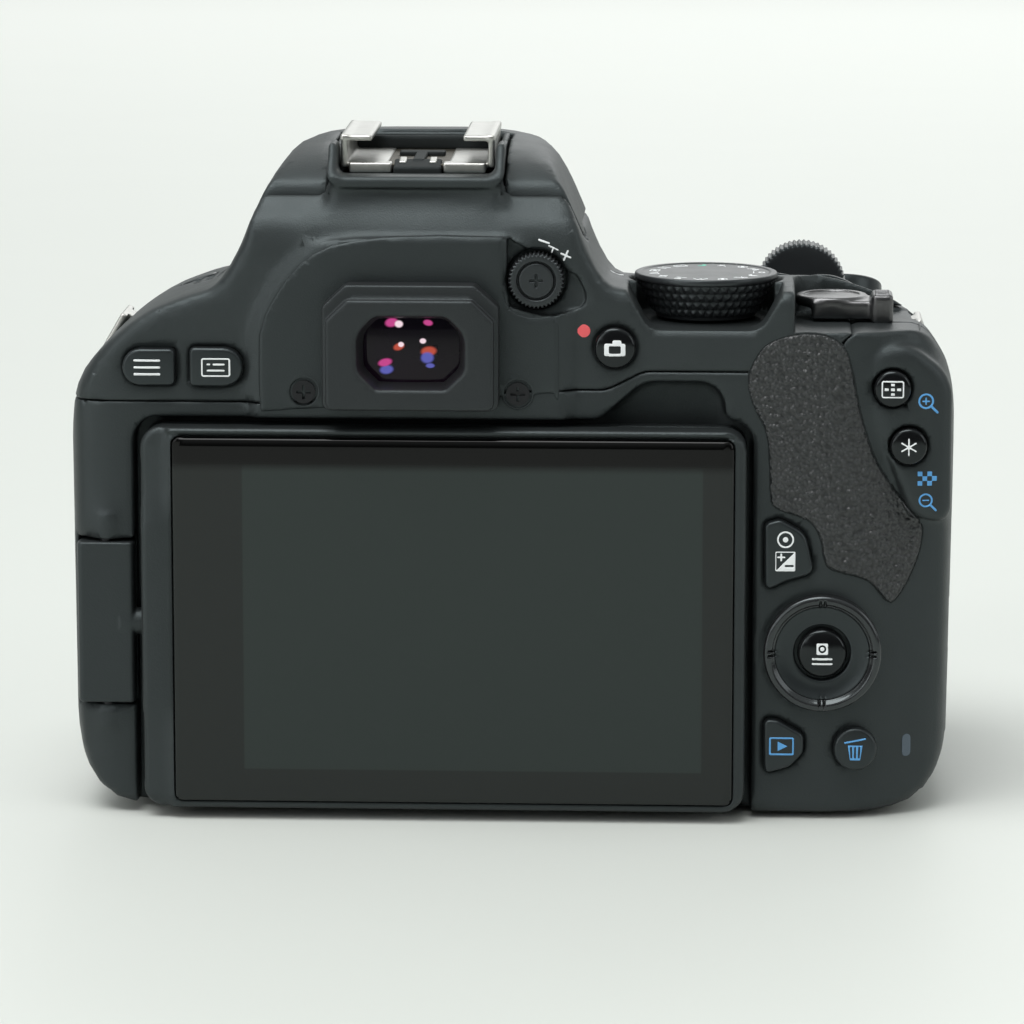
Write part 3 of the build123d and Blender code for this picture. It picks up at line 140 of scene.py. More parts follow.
def shape(points, U, V):
    """Signed distance in the plane to a closed outline."""
    U, V = np.broadcast_arrays(U, V)
    best = np.full(U.shape, 1e9, np.float32)
    inside = np.zeros(U.shape, bool)
    for (x0, y0), (x1, y1) in zip(points, np.roll(points, -1, axis=0)):
        ex, ey = x1 - x0, y1 - y0
        wx, wy = U - x0, V - y0
        t = np.clip((wx * ex + wy * ey) / (ex * ex + ey * ey + 1e-12), 0, 1)
        best = np.minimum(best, (wx - t * ex) ** 2 + (wy - t * ey) ** 2)
        crosses = (y0 > V) != (y1 > V)
        inside ^= crosses & (U < (x1 - x0) * (V - y0) / (y1 - y0 + 1e-12) + x0)
    best = np.sqrt(best)
    return np.where(inside, -best, best).astype(np.float32)


def outline(corners, U, V):
    return shape(arc_points(corners), U, V)


def slab(V, low, high):
    return np.maximum(low - V, V - high)


def rect(U, V, u0, u1, v0, v1, r=0.0):
    """Rounded rectangle in a plane."""
    du = np.abs(U - (u0 + u1) / 2) - (u1 - u0) / 2 + r
    dv = np.abs(V - (v0 + v1) / 2) - (v1 - v0) / 2 + r
    return np.sqrt(np.maximum(du, 0) ** 2 + np.maximum(dv, 0) ** 2) + np.minimum(np.maximum(du, dv), 0) - r


def disc(U, V, u, v, r):
    return np.sqrt((U - u) ** 2 + (V - v) ** 2) - r


def line(U, V, a, b, width):
    """Round-ended stroke from a to b."""
    ex, ey = b[0] - a[0], b[1] - a[1]
    wx, wy = U - a[0], V - a[1]
    t = np.clip((wx * ex + wy * ey) / (ex * ex + ey * ey + 1e-12), 0, 1)
    return np.sqrt((wx - t * ex) ** 2 + (wy - t * ey) ** 2) - width / 2


def strokes(U, V, width, *lines):
    """Union of round-ended strokes, each (u0, v0, u1, v1)."""
    return union(*(line(U, V, ends[:2], ends[2:], width) for ends in lines))


def frame_of(d, width):
    return np.abs(d) - width / 2


def linked(obj, location=(0, 0, 0)):
    bpy.context.scene.collection.objects.link(obj)
    obj.location = location
    return obj


def surface(grid, field, name, adapt=0.0):
    """Meshes the zero surface of a field, in metres."""
    counts = (grid.X.size, grid.Y.size, grid.Z.size)
    values = np.ascontiguousarray(np.broadcast_to(field, counts), np.float32)
    limit = 3 * grid.step
    vdb = openvdb.FloatGrid(limit)
    vdb.copyFromArray(np.clip(values, -limit, limit))
    vdb.transform = openvdb.createLinearTransform(voxelSize=grid.step)
    points, tris, quads = vdb.convertToPolygons(isovalue=0.0, adaptivity=adapt)
    points = (points + grid.low) * MM
    mesh = bpy.data.meshes.new(name)
    faces = [tuple(q[::-1]) for q in quads.tolist()] + [tuple(t[::-1]) for t in tris.tolist()]
    mesh.from_pydata(points.tolist(), [], faces)
    mesh.update()
    bm = bmesh.new()
    bm.from_mesh(mesh)
    if bm.calc_volume(signed=True) < 0:
        bmesh.ops.reverse_faces(bm, faces=bm.faces)
    bm.to_mesh(mesh)
    bm.free()
    mesh.polygons.foreach_set("use_smooth", [True] * len(mesh.polygons))
    return linked(bpy.data.objects.new(name, mesh))


def piece(grid, field, name, material, body=BODY, stands_for=None, adapt=0.0):
    """Meshed piece with its material, riding on a body, in place of a CAD node."""
    obj = surface(grid, field, name, adapt)
    obj.data.materials.append(material)
    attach(obj, body)
    if stands_for:
        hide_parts(stands_for)
    return obj


# ------------------------------------------------------------------ outer form of the body
X_LEFT, X_RIGHT = -48.8, 75.2
Y_BACK, Y_FRONT, Y_GRIP = -20.0, 17.5, 43.6
LENS_Z, HOUSING_R, HOUSING_Y = 38.0, 35.5, 36.6
EDGE_R = 2.1

LIMITS = (  # sides and underside seen from behind
    (X_LEFT + 0.5, 0, 13.0), (X_LEFT, 57.0, 0), (X_LEFT, 120, 0), (X_RIGHT, 120, 0),
    (X_RIGHT, 52.0, 40), (X_RIGHT - 1.2, 0, 11.0),
)
PLAN = (
    (X_LEFT, Y_BACK, 7), (59.0, Y_BACK, 14), (X_RIGHT, -13.0, 7), (X_RIGHT, 24.0, 14), (68.0, Y_GRIP, 9),
    (50.5, Y_GRIP, 9), (42.0, Y_FRONT, 8), (-42.0, Y_FRONT, 5), (X_LEFT, 11.0, 5),
)
PROFILE = (  # back, underside and front seen from the side, open at the top
    (Y_BACK, 0, 2.5), (42.5, 0, 6), (43.8, 12.0, 8), (43.8, 57.0, 8), (36.5, 66.0, 8), (36.5, 140, 0),
    (Y_BACK, 140, 0),
)
CREST_X = (  # height of the top plate across the body, without the hump
    (-52, 50.0), (-49.0, 56.0), (-47.3, 60.2), (-45.4, 63.1), (-43.2, 65.6), (-40.0, 68.5), (-36.5, 70.8),
    (-33.0, 72.3), (-26.0, 74.3), (-20.0, 75.4), (0.0, 76.0), (20.0, 75.2), (30.0, 74.3), (50.0, 74.2),
    (57.0, 74.0), (62.0, 72.6), (66.5, 70.7), (70.5, 67.5), (73.4, 63.0), (77, 54.5),
)
HUMP_X = (  # height of the prism hump across the body
    (-40, 40), (-27.4, 71.0), (-24.3, 79.0), (-21.9, 85.0), (-18.9, 90.2), (-15.3, 92.0), (-12.2, 92.5),
    (-8.5, 92.8), (0, 92.9), (8.5, 92.8), (12.2, 92.4), (15.3, 91.8), (18.6, 90.1), (21.3, 85.2),
    (23.7, 79.0), (26.6, 71.0), (40, 40),
)
HUMP_Y = (  # height of the hump from back to front
    (-22.0, 80.0), (-20.6, 81.5), (-19.4, 82.5), (-15.2, 86.7), (-14.2, 87.9), (-12.2, 89.2), (-6.0, 91.5),
    (2.0, 93.3), (10.0, 94.0), (16.0, 93.2), (21.0, 90.0), (27.0, 85.0), (33.0, 79.5), (40.0, 71.0),
)
HUMP_TAPER = 0.010  # narrowing of the hump towards the lens, per millimetre
DROP_Y = (  # fall of the top plate from back to front
    (-22, 0.6), (-12, 0.0), (-2, 0.3), (6, 1.4), (14, 3.0), (22, 5.0), (30, 7.6), (36, 10.4),
    (41, 14.5), (46, 21.0),
)


def spline(table, at):
    """Smooth curve through a table of points, by monotone cubic pieces."""
    x, y = np.array(table, float).T
    slope = np.gradient(y, x)
    k = np.clip(np.searchsorted(x, at) - 1, 0, len(x) - 2)
    h = x[k + 1] - x[k]
    t = np.clip((at - x[k]) / h, 0, 1)
    a, b = y[k], y[k + 1]
    ma, mb = slope[k] * h, slope[k + 1] * h
    return ((2 * t**3 - 3 * t**2 + 1) * a + (t**3 - 2 * t**2 + t) * ma + (3 * t**2 - 2 * t**3) * b
            + (t**3 - t**2) * mb)


def soft_max(a, b, k):
    h = np.clip(0.5 + 0.5 * (a - b) / k, 0, 1)
    return b + (a - b) * h + k * h * (1 - h)


def soft_min(a, b, k):
    return -soft_max(-a, -b, k)


def crest(g):
    """Distance to the top surface: shoulders blended into the hump."""
    x, y = g.X[:, :, 0], g.Y[:, :, 0]
    # the left shoulder falls less than the grip side, except over the front
    weight = np.clip(0.3 + 0.7 * (x + 30) / 40 + 0.05 * np.maximum(y - 16, 0), 0.3, 1)
    shoulder = spline(CREST_X, x) - spline(DROP_Y, y) * weight
    narrowed = x * (1 + HUMP_TAPER * np.maximum(y - 8, 0))
    hump = soft_min(spline(HUMP_X, narrowed), spline(HUMP_Y, y), 1.6)
    top = soft_max(shoulder, hump, 7.0)
    gx, gy = np.gradient(top, g.step)
    lean = 1 / np.sqrt(1 + gx**2 + gy**2)
    return ((g.Z - top[:, :, None]) * lean[:, :, None]).astype(np.float32)


def envelope(g):
    """Outer skin of the camera without its recesses."""
    top = crest(g)
    limits = outline(LIMITS, g.X, g.Z)
    block = both(EDGE_R, limits, outline(PLAN, g.X, g.Y), outline(PROFILE, g.Y, g.Z), top)
    barrel = disc(g.X, g.Z, 0, LENS_Z, HOUSING_R - 0.035 * np.maximum(g.Y - 18, 0))
    prism = rect(g.X, g.Z, -26.4, 26.4, 56, 140, 4)
    front = both(2.2, union(barrel, prism), slab(g.Y, 0, HOUSING_Y), top)
    blend = np.clip((70 - g.Z) / 8, 0.05, 1) * 3.5
    return join(blend, block, front)


# ------------------------------------------------------------------ keys on the back
# A key is either a round one (at, r) or an outline of (x, z, corner radius); top is its rear face and
# floor the bottom of its well, both along Y
FLAT_KEY = dict(top=-20.75, floor=-18.9, dome=0.004)
LOW_KEY = dict(top=-20.95, floor=-18.9, dome=0.012)
ROUND_KEY = dict(r=2.55, top=-19.85, floor=-17.4, dome=0.05)
BACK_KEYS = {
    "menu_button": dict(
        LOW_KEY, shape=((-33.0, 60.6, 0.7), (-33.0, 65.7, 0.7), (-40.3, 65.7, 2.5), (-40.3, 60.6, 2.5))),
    "info_button": dict(
        LOW_KEY, shape=((-31.0, 60.5, 0.7), (-31.0, 65.9, 0.7), (-23.6, 65.9, 2.7), (-23.6, 60.5, 2.7))),
    "exposure_button": dict(FLAT_KEY, shape=(
        (48.3, 41.9, 0.8), (50.4, 42.5, 1.2), (53.9, 40.6, 2.6), (55.2, 35.0, 1.2), (51.4, 33.9, 2.0),
        (48.4, 32.4, 0.8))),
    "playback_button": dict(FLAT_KEY, shape=(
        (48.4, 14.4, 0.8), (50.4, 14.2, 1.2), (54.0, 12.2, 1.4), (53.9, 9.6, 1.6), (52.0, 7.6, 2.0),
        (48.5, 6.6, 0.8))),
    "erase_button": dict(at=(61.1, 10.2), r=3.0, top=-20.75, floor=-18.9, dome=0.03),
    "live_view_button": dict(at=(27.6, 66.2), r=2.85, top=-21.15, floor=-18.9, dome=0.05),
    "focus_point_button": dict(ROUND_KEY, at=(65.7, 60.6)),
    "exposure_lock_button": dict(ROUND_KEY, at=(68.0, 52.6)),
    "cross_key_ring": dict(at=(56.4, 23.8), r=8.25, top=-21.3, floor=-19.2, dome=0.0),
}


def key_outline(key, X, Z):
    if "r" in key:
        return disc(X, Z, *key["at"], key["r"])
    return outline(key["shape"], X, Z)


def key_span(key):
    """Corners in X and Z of the well of a key."""
    if "r" in key:
        reach = key["r"] + 1
        return np.array(key["at"]) - reach, np.array(key["at"]) + reach
    corners = np.array([c[:2] for c in key["shape"]])
    return corners.min(0) - 1, corners.max(0) + 1


# ------------------------------------------------------------------ recesses and seams
SEAM = 0.07  # half of the gap between covers
SEAM_Y = -8.0
TOP_SEAM = (
    (-90, 58.2, 0), (-21.0, 58.2, 0), (19.0, 60.2, 2), (26.5, 60.2, 4), (31.5, 62.8, 4), (56.0, 62.8, 8),
    (60.5, 69.6, 6), (69.0, 68.6, 8), (75.5, 63.6, 6), (100, 56, 0), (100, 140, 0), (-90, 140, 0),
)
SCREEN_LOW, SCREEN_HIGH = cad("screen_front_frame")
KNUCKLE_LOW, KNUCKLE_HIGH = cad("screen_hinge")
SWING_X, SWING_Y = -43.0, -18.6
RECESS_Y = -15.2
NOTCH = ((22.8, 50, 0), (26.0, 56.6, 4), (31.5, 61.4, 4), (42.4, 61.4, 3.5), (43.6, 50, 0))


def knuckle_height(g):
    return slab(g.Z, KNUCKLE_LOW[2] - 0.35, KNUCKLE_HIGH[2] + 0.35)


def knuckle_well(g):
    return np.maximum(disc(g.X, g.Y, SWING_X, SWING_Y, 4.5), knuckle_height(g))


def recess(g):
    """Room behind the screen, with the finger notch above it and the knuckle's hollow."""
    x0, x1, z1 = SCREEN_LOW[0] - 1.2, SCREEN_HIGH[0] + 0.9, SCREEN_HIGH[2] + 1.0
    pocket = np.maximum(rect(g.X, g.Z, x0, x1, -30, z1, 3.4), g.Y - RECESS_Y)
    notch = both(1.5, outline(NOTCH, g.X, g.Z), g.Y + 14.4)
    aside = both(0, g.X - SWING_X, g.Y - SWING_Y, knuckle_height(g))
    return union(join(1.0, pocket, notch), knuckle_well(g), aside)


DIOPTRE = (16.8, 75.5)
DIAL_X, DIAL_Y, DIAL_R, DIAL_FLOOR = 39.9, -6.0, 10.1, 68.5
LEVER_FLOOR = 68.3
WHEEL_X, WHEEL_Z, WHEEL_R = 53.4, 69.8, 6.4


def dial_well(g):
    """Round well of the mode dial, open to the back like the hull of a boat."""
    well = np.maximum(disc(g.X, g.Y, DIAL_X, DIAL_Y, DIAL_R + 0.5), DIAL_FLOOR - g.Z)
    hull = ((-11.6, 78, 0), (-10.4, 73.2, 2), (-7.6, DIAL_FLOOR, 2.5), (7.6, DIAL_FLOOR, 2.5),
            (10.4, 73.2, 2), (11.6, 78, 0))
    return union(well, np.maximum(outline(hull, g.X - DIAL_X, g.Z), g.Y - DIAL_Y + 5))


def lever_well(g):
    return np.maximum(rect(g.X, g.Y, 52.2, 90, -40, 3.4, 5.2), LEVER_FLOOR - g.Z)


def wheel_well(g):
    return np.maximum(disc(g.X, g.Z, WHEEL_X, WHEEL_Z, WHEEL_R + 0.45), slab(g.Y, 15.1, 21.4))


SHOE_X, SHOE_FRONT, SHOE_FLOOR = 10.9, 9.7, 88.9


def shoe_well(g):
    """Seat of the accessory shoe, open to the back over a low sill."""
    seat = np.maximum(rect(g.X, g.Y, -SHOE_X, SHOE_X, -12.8, SHOE_FRONT, 1.4), SHOE_FLOOR - g.Z)
    mouth = both(0, rect(g.X, g.Z, -SHOE_X, SHOE_X, 89.3, 120, 1.2), g.Y + 8)
    return np.minimum(seat, mouth)


ARCH = (  # edge of the panel that arches over the eyepiece
    (-21.3, 56.9), (-21.5, 62.0), (-21.4, 67.6), (-20.6, 70.6), (-19.1, 73.3), (-17.7, 75.4), (-15.9, 77.4),
    (-13.9, 78.9), (-11.5, 80.1), (-8.3, 80.8), (-4.6, 81.3), (3.6, 81.6), (12.4, 81.4),
)
ARCH_RIM = 0.75  # width of the raised field outside the panel
ARCH_FIELD = (
    (-22.1, 50), (-22.2, 62.0),
    *((x - ARCH_RIM * min(1, (9 - x) / 22), z + ARCH_RIM * min(1, (x + 24) / 24)) for x, z in ARCH[2:]),
    (21.0, 72.0), (21.0, 50),
)
THUMB_PAD = smooth_loop((
    (46.6, 64.6), (48.6, 67.0), (52.6, 68.3), (56.6, 68.1), (59.2, 66.3), (60.4, 62.6), (61.6, 56.9),
    (63.8, 50.4), (67.4, 45.0), (70.0, 41.6), (70.2, 38.6), (68.9, 34.4), (66.6, 30.6), (65.0, 30.7),
    (62.4, 33.6), (57.6, 35.2), (56.4, 36.6), (55.8, 39.6), (54.2, 42.0), (50.0, 43.6), (48.9, 45.2),
    (48.7, 50.0), (48.2, 54.4), (46.4, 58.2), (45.7, 61.6),
))
TOP_KEYS = {  # x0, x1, y0, y1, corner radius and rise over the skin
    "iso_button": (45.3, 51.9, 6.2, 10.8, 2.2, 0.35),
    "display_button": (54.3, 60.9, 7.3, 11.9, 2.2, 0.35),
    "wireless_button": (-34.3, -29.3, -0.5, 4.5, 2.4, 0.1),
}
FLAPS = {  # corners of the flank doors: x0, x1, y0, y1, z0, z1
    "left_cover": (-50, -46, -5.4, 8.4, 12.1, 49.9),
    "right_cover": (71.6, 76, -5.9, 5.8, 20.5, 38.1),
}
LUGS = ((42.0, 68.0, 60, True), (68.9, 67.6, 72, False))  # x, z, slope, mirrored
LUG_Y = 1.5
SPEAKER_X, SPEAKER_Y = -31.8, -5.8  # first slot of the speaker grille


def lug_frame(g, x, z, slope, flip):
    """Distances along the strip of a lug and away from the body."""
    c, s = math.cos(math.radians(slope)), math.sin(math.radians(slope))
    dx, dz = (-g.X if flip else g.X) - x, g.Z - z
    return dx * c - dz * s, dx * s + dz * c


def body_form(g):
    """Outer skin with its pockets: the surface that every cover shares."""
    d = envelope(g)
    # pedestal behind the accessory shoe: a hollow wall under a thin collar
    hollow = 0.8 * np.clip(1 - (g.X / 10.5) ** 2, 0, 1) * np.clip((g.Z - 82.5) / 2.5, 0, 1)
    wall = np.maximum(-17.1 + hollow - g.Y, g.Y + 8)
    d = join(1.6, d, both(1.1, np.abs(g.X) - 11.9, wall, slab(g.Z, 70, 88.8)))
    rise = 89.4 + np.clip(0.9 * (g.Y + 17.4), 0, 4)
    collar = both(0.5, rect(g.X, g.Z, -12.2, 12.2, 87.6, 99.0, 2.2), slab(g.Y, -17.5, -8), g.Z - rise)
    d = join(0.3, d, collar)
    # raised field that carries the eyepiece panel
    under_the_slope = g.Z + g.Y - 61.1
    d = join(2.0, d, both(0.9, shape(ARCH_FIELD, g.X, g.Z), slab(g.Y, -20.55, -8), under_the_slope))
    # sunk facet beside the eyepiece, with the round seat of the dioptre knob
    facet = ((12.7, 81.3, 0.3), (22.4, 76.0, 1), (24.4, 72.0, 2), (18.6, 70.4, 3), (13.0, 71.8, 1))
    d = cut(0.2, d, both(0.1, outline(facet, g.X, g.Z), g.Y + 18.9 - 0.10 * (g.Z - 76) - 0.05 * (g.X - 13)))
    d = cut(0.3, d, both(0.2, disc(g.X, g.Z, *DIOPTRE, 4.2), g.Y + 17.9))
    # raised island under the two buttons at the right
    island = ((62.6, 57.0, 3), (62.2, 66.0, 5), (68.0, 66.9, 5), (74.0, 62.0, 6), (74.0, 41.0, 4),
              (68.4, 42.6, 3))
    ramp = np.maximum(g.X - 66, 0) * 0.12 - g.Y - 18.75
    d = join(0.8, d, both(1.6, outline(island, g.X, g.Z), ramp, g.Y + 8))
    # pocket behind the screen, with a boss over each swing pin
    pin = disc(g.X, g.Y, SWING_X, SWING_Y, 1.15)
    boss = both(0.4, pin, slab(g.Z, KNUCKLE_LOW[2] - 3.6, KNUCKLE_HIGH[2] + 3.6))
    return cut(0.2, join(1.6, cut(0.5, d, recess(g)), boss), knuckle_well(g))


def carve(g, d):
    """Wells of the controls."""
    for key in BACK_KEYS.values():
        low, high = key_span(key)
        if g.X.max() > low[0] and g.X.min() < high[0] and g.Z.max() > low[1] and g.Z.min() < high[1]:
            floor = key["floor"]
            d = cut(0.28, d, both(0.1, key_outline(key, g.X, g.Z) - 0.22, g.Y - floor, floor - 8 - g.Y))
    for edge, well in ((0.4, dial_well), (0.5, lever_well), (0.4, wheel_well), (0.8, shoe_well)):
        d = cut(edge, d, well(g))
    for x0, x1, y0, y1, r, _ in TOP_KEYS.values():
        d = cut(0.25, d, both(0, rect(g.X, g.Y, x0, x1, y0, y1, r) - 0.2, 60 - g.Z))
    for x0, x1, y0, y1, z0, z1 in FLAPS.values():
        d = cut(0.2, d, both(0, rect(g.Y, g.Z, y0, y1, z0, z1, 2.0), slab(g.X, x0 + 0.3, x1)))
    for x, z, slope, flip in LUGS:
        along, up = lug_frame(g, x, z, slope, flip)
        d = cut(0.3, d, both(0.2, slab(along, -0.5, 6.3), np.abs(g.Y - LUG_Y) - 5.1, -1.6 - up, up - 6))
    for i in range(3):
        for j in range(3):
            x, y = SPEAKER_X + 1.7 * i, SPEAKER_Y + 2.0 * j
            d = cut(0.05, d, both(0, rect(g.X, g.Y, x, x + 0.9, y, y + 1.0, 0.3), 68 - g.Z))
    base_plate = both(0, rect(g.X, g.Y, -38.2, 44.2, -12.2, 14.7, 1.0), g.Z - 2.05)
    battery_door = both(0, rect(g.X, g.Y, 45.4, 64.9, -1.3, 35.7, 2.0), g.Z - 3.0)
    return cut(0.3, cut(0.3, d, base_plate), battery_door)


# ------------------------------------------------------------------ shader nodes
def feed(tree, node, inputs):
    """Sets inputs to plain values, or links them to the sockets given."""
    for key, value in inputs.items():
        if isinstance(value, bpy.types.NodeSocket):
            tree.links.new(value, node.inputs[key])
        else:
            node.inputs[key].default_value = value


def add(tree, kind, inputs, **settings):
    node = tree.nodes.new("ShaderNode" + kind)
    for key, value in settings.items():
        setattr(node, key, value)
    feed(tree, node, inputs)
    return node


def place(tree, scale=1.0):
    """Object coordinates in millimetres times a scale."""
    coords = add(tree, "TexCoord", {}).outputs["Object"]
    return add(tree, "Mapping", {"Vector": coords, "Scale": (scale / MM,) * 3}).outputs["Vector"]


def noise(tree, scale, detail, rough=0.5):
    inputs = {"Vector": place(tree, scale), "Scale": 1.0, "Detail": detail, "Roughness": rough}
    return add(tree, "TexNoise", inputs).outputs["Fac"]


def span(tree, value, start, end, low=0.0, high=1.0, kind="LINEAR"):
    """Carries a value from start..end to low..high."""
    inputs = {"Value": value, "From Min": start, "From Max": end, "To Min": low, "To Max": high}
    return add(tree, "MapRange", inputs, interpolation_type=kind).outputs["Result"]


def mix(tree, factor, a, b):
    return add(tree, "Mix", {"Factor": factor, "A": a, "B": b}, data_type="RGBA").outputs["Result"]


def wander(tree, colour, amount, scale):
    """Slow drift of the colour over the surface, so no face is one flat tone."""
    low = (*[c * (1 - amount) for c in colour], 1)
    high = (*[min(1.0, c * (1 + amount)) for c in colour], 1)
    return mix(tree, noise(tree, scale, 3.0), low, high)


def bump(tree, height, depth):
    return add(tree, "Bump", {"Height": height, "Distance": depth * MM}).outputs["Normal"]


# ------------------------------------------------------------------ finishes
def shader(name, colour, rough, metallic=0.0, coat=0.0, spec=0.5):
    """Principled material, with its node tree and its main node."""
    mat = bpy.data.materials.new(name)
    mat.use_nodes = True
    base = mat.node_tree.nodes["Principled BSDF"]
    feed(mat.node_tree, base, {
        "Base Color": (*colour, 1), "Roughness": rough, "Metallic": metallic,
        "Coat Weight": coat, "Coat Roughness": 0.12, "Specular IOR Level": spec,
    })
    return mat, mat.node_tree, base


def moulded(name, colour, rough=0.5, grain=0.004, size=5.0, coat=0.0, spec=0.5, drift=0.12):
    """Fine spark-eroded plastic: noise grain, slow tone drift and uneven gloss."""
    mat, tree, base = shader(name, colour, rough, coat=coat, spec=spec)
    feed(tree, base, {
        "Specular Tint": (0.84, 0.98, 1.0, 1),
        "Base Color": wander(tree, colour, drift, 0.11),
        "Roughness": span(tree, noise(tree, 0.35, 4.0), 0, 1, rough - 0.05, rough + 0.06),
        "Normal": bump(tree, noise(tree, size, 2.0, 0.6), grain),
    })
    return mat


def rubber(name, colour, size, depth, rough):
    """Pebbled rubber: rounded cells with grooves between them, coloured with painted shade: darker in the
    grooves, lighter on the crowns.
    """
    mat, tree, base = shader(name, colour, rough)
    inputs = {"Vector": place(tree, size), "Scale": 1.0, "Smoothness": 0.35}
    cells = add(tree, "TexVoronoi", inputs, feature="SMOOTH_F1").outputs["Distance"]
    relief_and_painted_shade = span(tree, cells, 0.05, 0.75, 1.0, 0.0)
    # colour of the cells: painted shade in the grooves and painted light on the crowns
    low, high = ((*[c * tone for c in colour], 1) for tone in (0.55, 1.35))
    feed(tree, base, {"Base Color": mix(tree, relief_and_painted_shade, low, high), "Normal": bump(tree, relief_and_painted_shade, depth)})
    return mat


def metal(name, colour, rough, brush=0.0, drift=0.08):
    mat, tree, base = shader(name, colour, rough, metallic=1.0)
    gloss = span(tree, noise(tree, 1.2, 4.0), 0, 1, max(0.05, rough - 0.06), rough + 0.08)
    feed(tree, base, {"Base Color": wander(tree, colour, drift, 0.6), "Roughness": gloss})
    if brush:
        feed(tree, base, {"Normal": bump(tree, noise(tree, 6.0, 2.0), brush)})
    return mat


COVER = moulded("cover_plastic", (0.0150, 0.0172, 0.0178), rough=0.44, grain=0.035, size=4.2)
# lighter copy of the cover plastic for the top cover and the flash head: painted light on the upper covers
TOP_COVER_PAINTED_LIGHTER = moulded("top_plastic", (0.0175, 0.0200, 0.0206), rough=0.46, grain=0.035, size=4.2)
SMOOTH = moulded("smooth_plastic", (0.010, 0.0115, 0.0125), rough=0.34, grain=0.006, size=3.0)
GLOSSY = moulded("gloss_plastic", (0.004, 0.004, 0.0045), 0.14, grain=0.002, size=1.5, coat=0.15, spec=0.3)
GLOSS_RIM = moulded("gloss_rim", (0.013, 0.013, 0.014), rough=0.2, grain=0.002, size=1.5, coat=0.25)
DARK = moulded("inner_black", (0.006, 0.006, 0.006), rough=0.75, grain=0.02, size=3.0)
THUMB = rubber("thumb_rubber", (0.026, 0.029, 0.030), 1.9, 0.16, rough=0.36)
GRIP = rubber("grip_rubber", (0.022, 0.024, 0.025), 1.5, 0.16, rough=0.42)
EYE_RUBBER = moulded("eyepiece_rubber", (0.012, 0.012, 0.013), rough=0.48, grain=0.02, size=3.0)
SOFT = moulded("soft_flap", (0.016, 0.016, 0.017), rough=0.68, grain=0.03, size=4.0)
DIAL = moulded("dial_black", (0.016, 0.0165, 0.018), rough=0.36, grain=0.012, size=3.5)
STEEL = metal("bright_steel", (0.50, 0.50, 0.475), 0.34, brush=0.015, drift=0.14)
WORN = metal("worn_plate", (0.085, 0.078, 0.062), 0.5, brush=0.03, drift=0.6)
GUNMETAL = metal("gunmetal", (0.13, 0.13, 0.132), 0.3, brush=0.01)
BLACK_SCREW = metal("black_screw", (0.035, 0.036, 0.038), 0.4)
PRINT = moulded("print_white", (0.80, 0.82, 0.83), drift=0.06)
PRINT_BLUE = moulded("print_blue", (0.10, 0.33, 0.66), drift=0.08)
PRINT_GREEN = moulded("print_green", (0.12, 0.52, 0.38), drift=0.08)
CORAL = moulded("print_coral", (0.78, 0.11, 0.12), rough=0.4, drift=0.08)
LAMP_GREY = moulded("lamp_grey", (0.075, 0.095, 0.12), rough=0.25, drift=0.08)


# ------------------------------------------------------------------ camera, floor and light
AIM = Vector((12.55, 0.0, 39.56)) * MM
AZIMUTH, ELEVATION, DISTANCE = math.radians(2.6), math.radians(10.27), 0.740
FOCAL_LENGTH = 183.3
FLOOR_TONE = (0.62, 0.645, 0.61)
LAMP_TARGET = (0.012, 0.0, 0.045)


def look_at(obj, target):
    obj.rotation_euler = (Vector(target) - obj.location).to_track_quat("-Z", "Y").to_euler()


def make_camera():
    lens = bpy.data.cameras.new("rear_camera")
    lens.lens, lens.sensor_width = FOCAL_LENGTH, 36.0
    lens.clip_start, lens.clip_end = 0.01, 20.0
    level = math.cos(ELEVATION)
    back = Vector((math.sin(AZIMUTH) * level, -math.cos(AZIMUTH) * level, math.sin(ELEVATION)))
    camera = linked(bpy.data.objects.new("rear_camera", lens), AIM + DISTANCE * back)
    look_at(camera, AIM)
    bpy.context.scene.camera = camera


def make_floor():
    """Pale paper with a painted glow that brightens it away from the camera, standing in for the light on a
    lit sweep.
    """
    bpy.ops.mesh.primitive_plane_add(size=24.0, location=(0, 0, -0.0001))
    floor = bpy.context.object
    floor.name = "floor"
    mat, tree, base = shader("floor_paper", FLOOR_TONE, 0.55)
    metres = add(tree, "SeparateXYZ", {"Vector": place(tree, MM)})
    feed(tree, base, {
        "Base Color": wander(tree, FLOOR_TONE, 0.012, 0.02),
        "Emission Color": (0.99, 1.0, 0.97, 1),
        # emission that grows away from the camera: painted light on the paper
        "Emission Strength": span(tree, metres.outputs["Y"], 0.1, 1.3, 0, 0.36),
    })
    floor.data.materials.append(mat)


def make_world():
    """Pale backdrop to the eye; to the object, a room bright above and dim behind the camera."""
    world = bpy.data.worlds.new("studio")
    bpy.context.scene.world = world
    world.use_nodes = True
    sky = world.node_tree
    ray = add(sky, "SeparateXYZ", {"Vector": add(sky, "TexCoord", {}).outputs["Generated"]})
    above = span(sky, ray.outputs["Z"], 0.12, 0.85, 0.07, 0.58, "SMOOTHSTEP")
    ahead = span(sky, ray.outputs["Y"], -0.35, 0.6, 0.0, 0.62, "SMOOTHSTEP")
    room = add(sky, "Math", {0: above, 1: ahead}, operation="MAXIMUM").outputs["Value"]
    light = sky.nodes["Background"]
    feed(sky, light, {"Color": (0.94, 0.98, 0.965, 1), "Strength": room})
    backdrop = add(sky, "Background", {"Color": (0.92, 0.93, 0.885, 1), "Strength": 1.2})
    seen = add(sky, "LightPath", {}).outputs["Is Camera Ray"]
    pick = add(sky, "MixShader", {"Fac": seen, 1: light.outputs[0], 2: backdrop.outputs[0]})
    feed(sky, sky.nodes["World Output"], {"Surface": pick.outputs["Shader"]})


def soft_box(name, at, width, height, power):
    lamp = bpy.data.lights.new(name, "AREA")
    lamp.shape, lamp.size, lamp.size_y, lamp.energy = "RECTANGLE", width, height, power
    look_at(linked(bpy.data.objects.new(name, lamp), at), LAMP_TARGET)


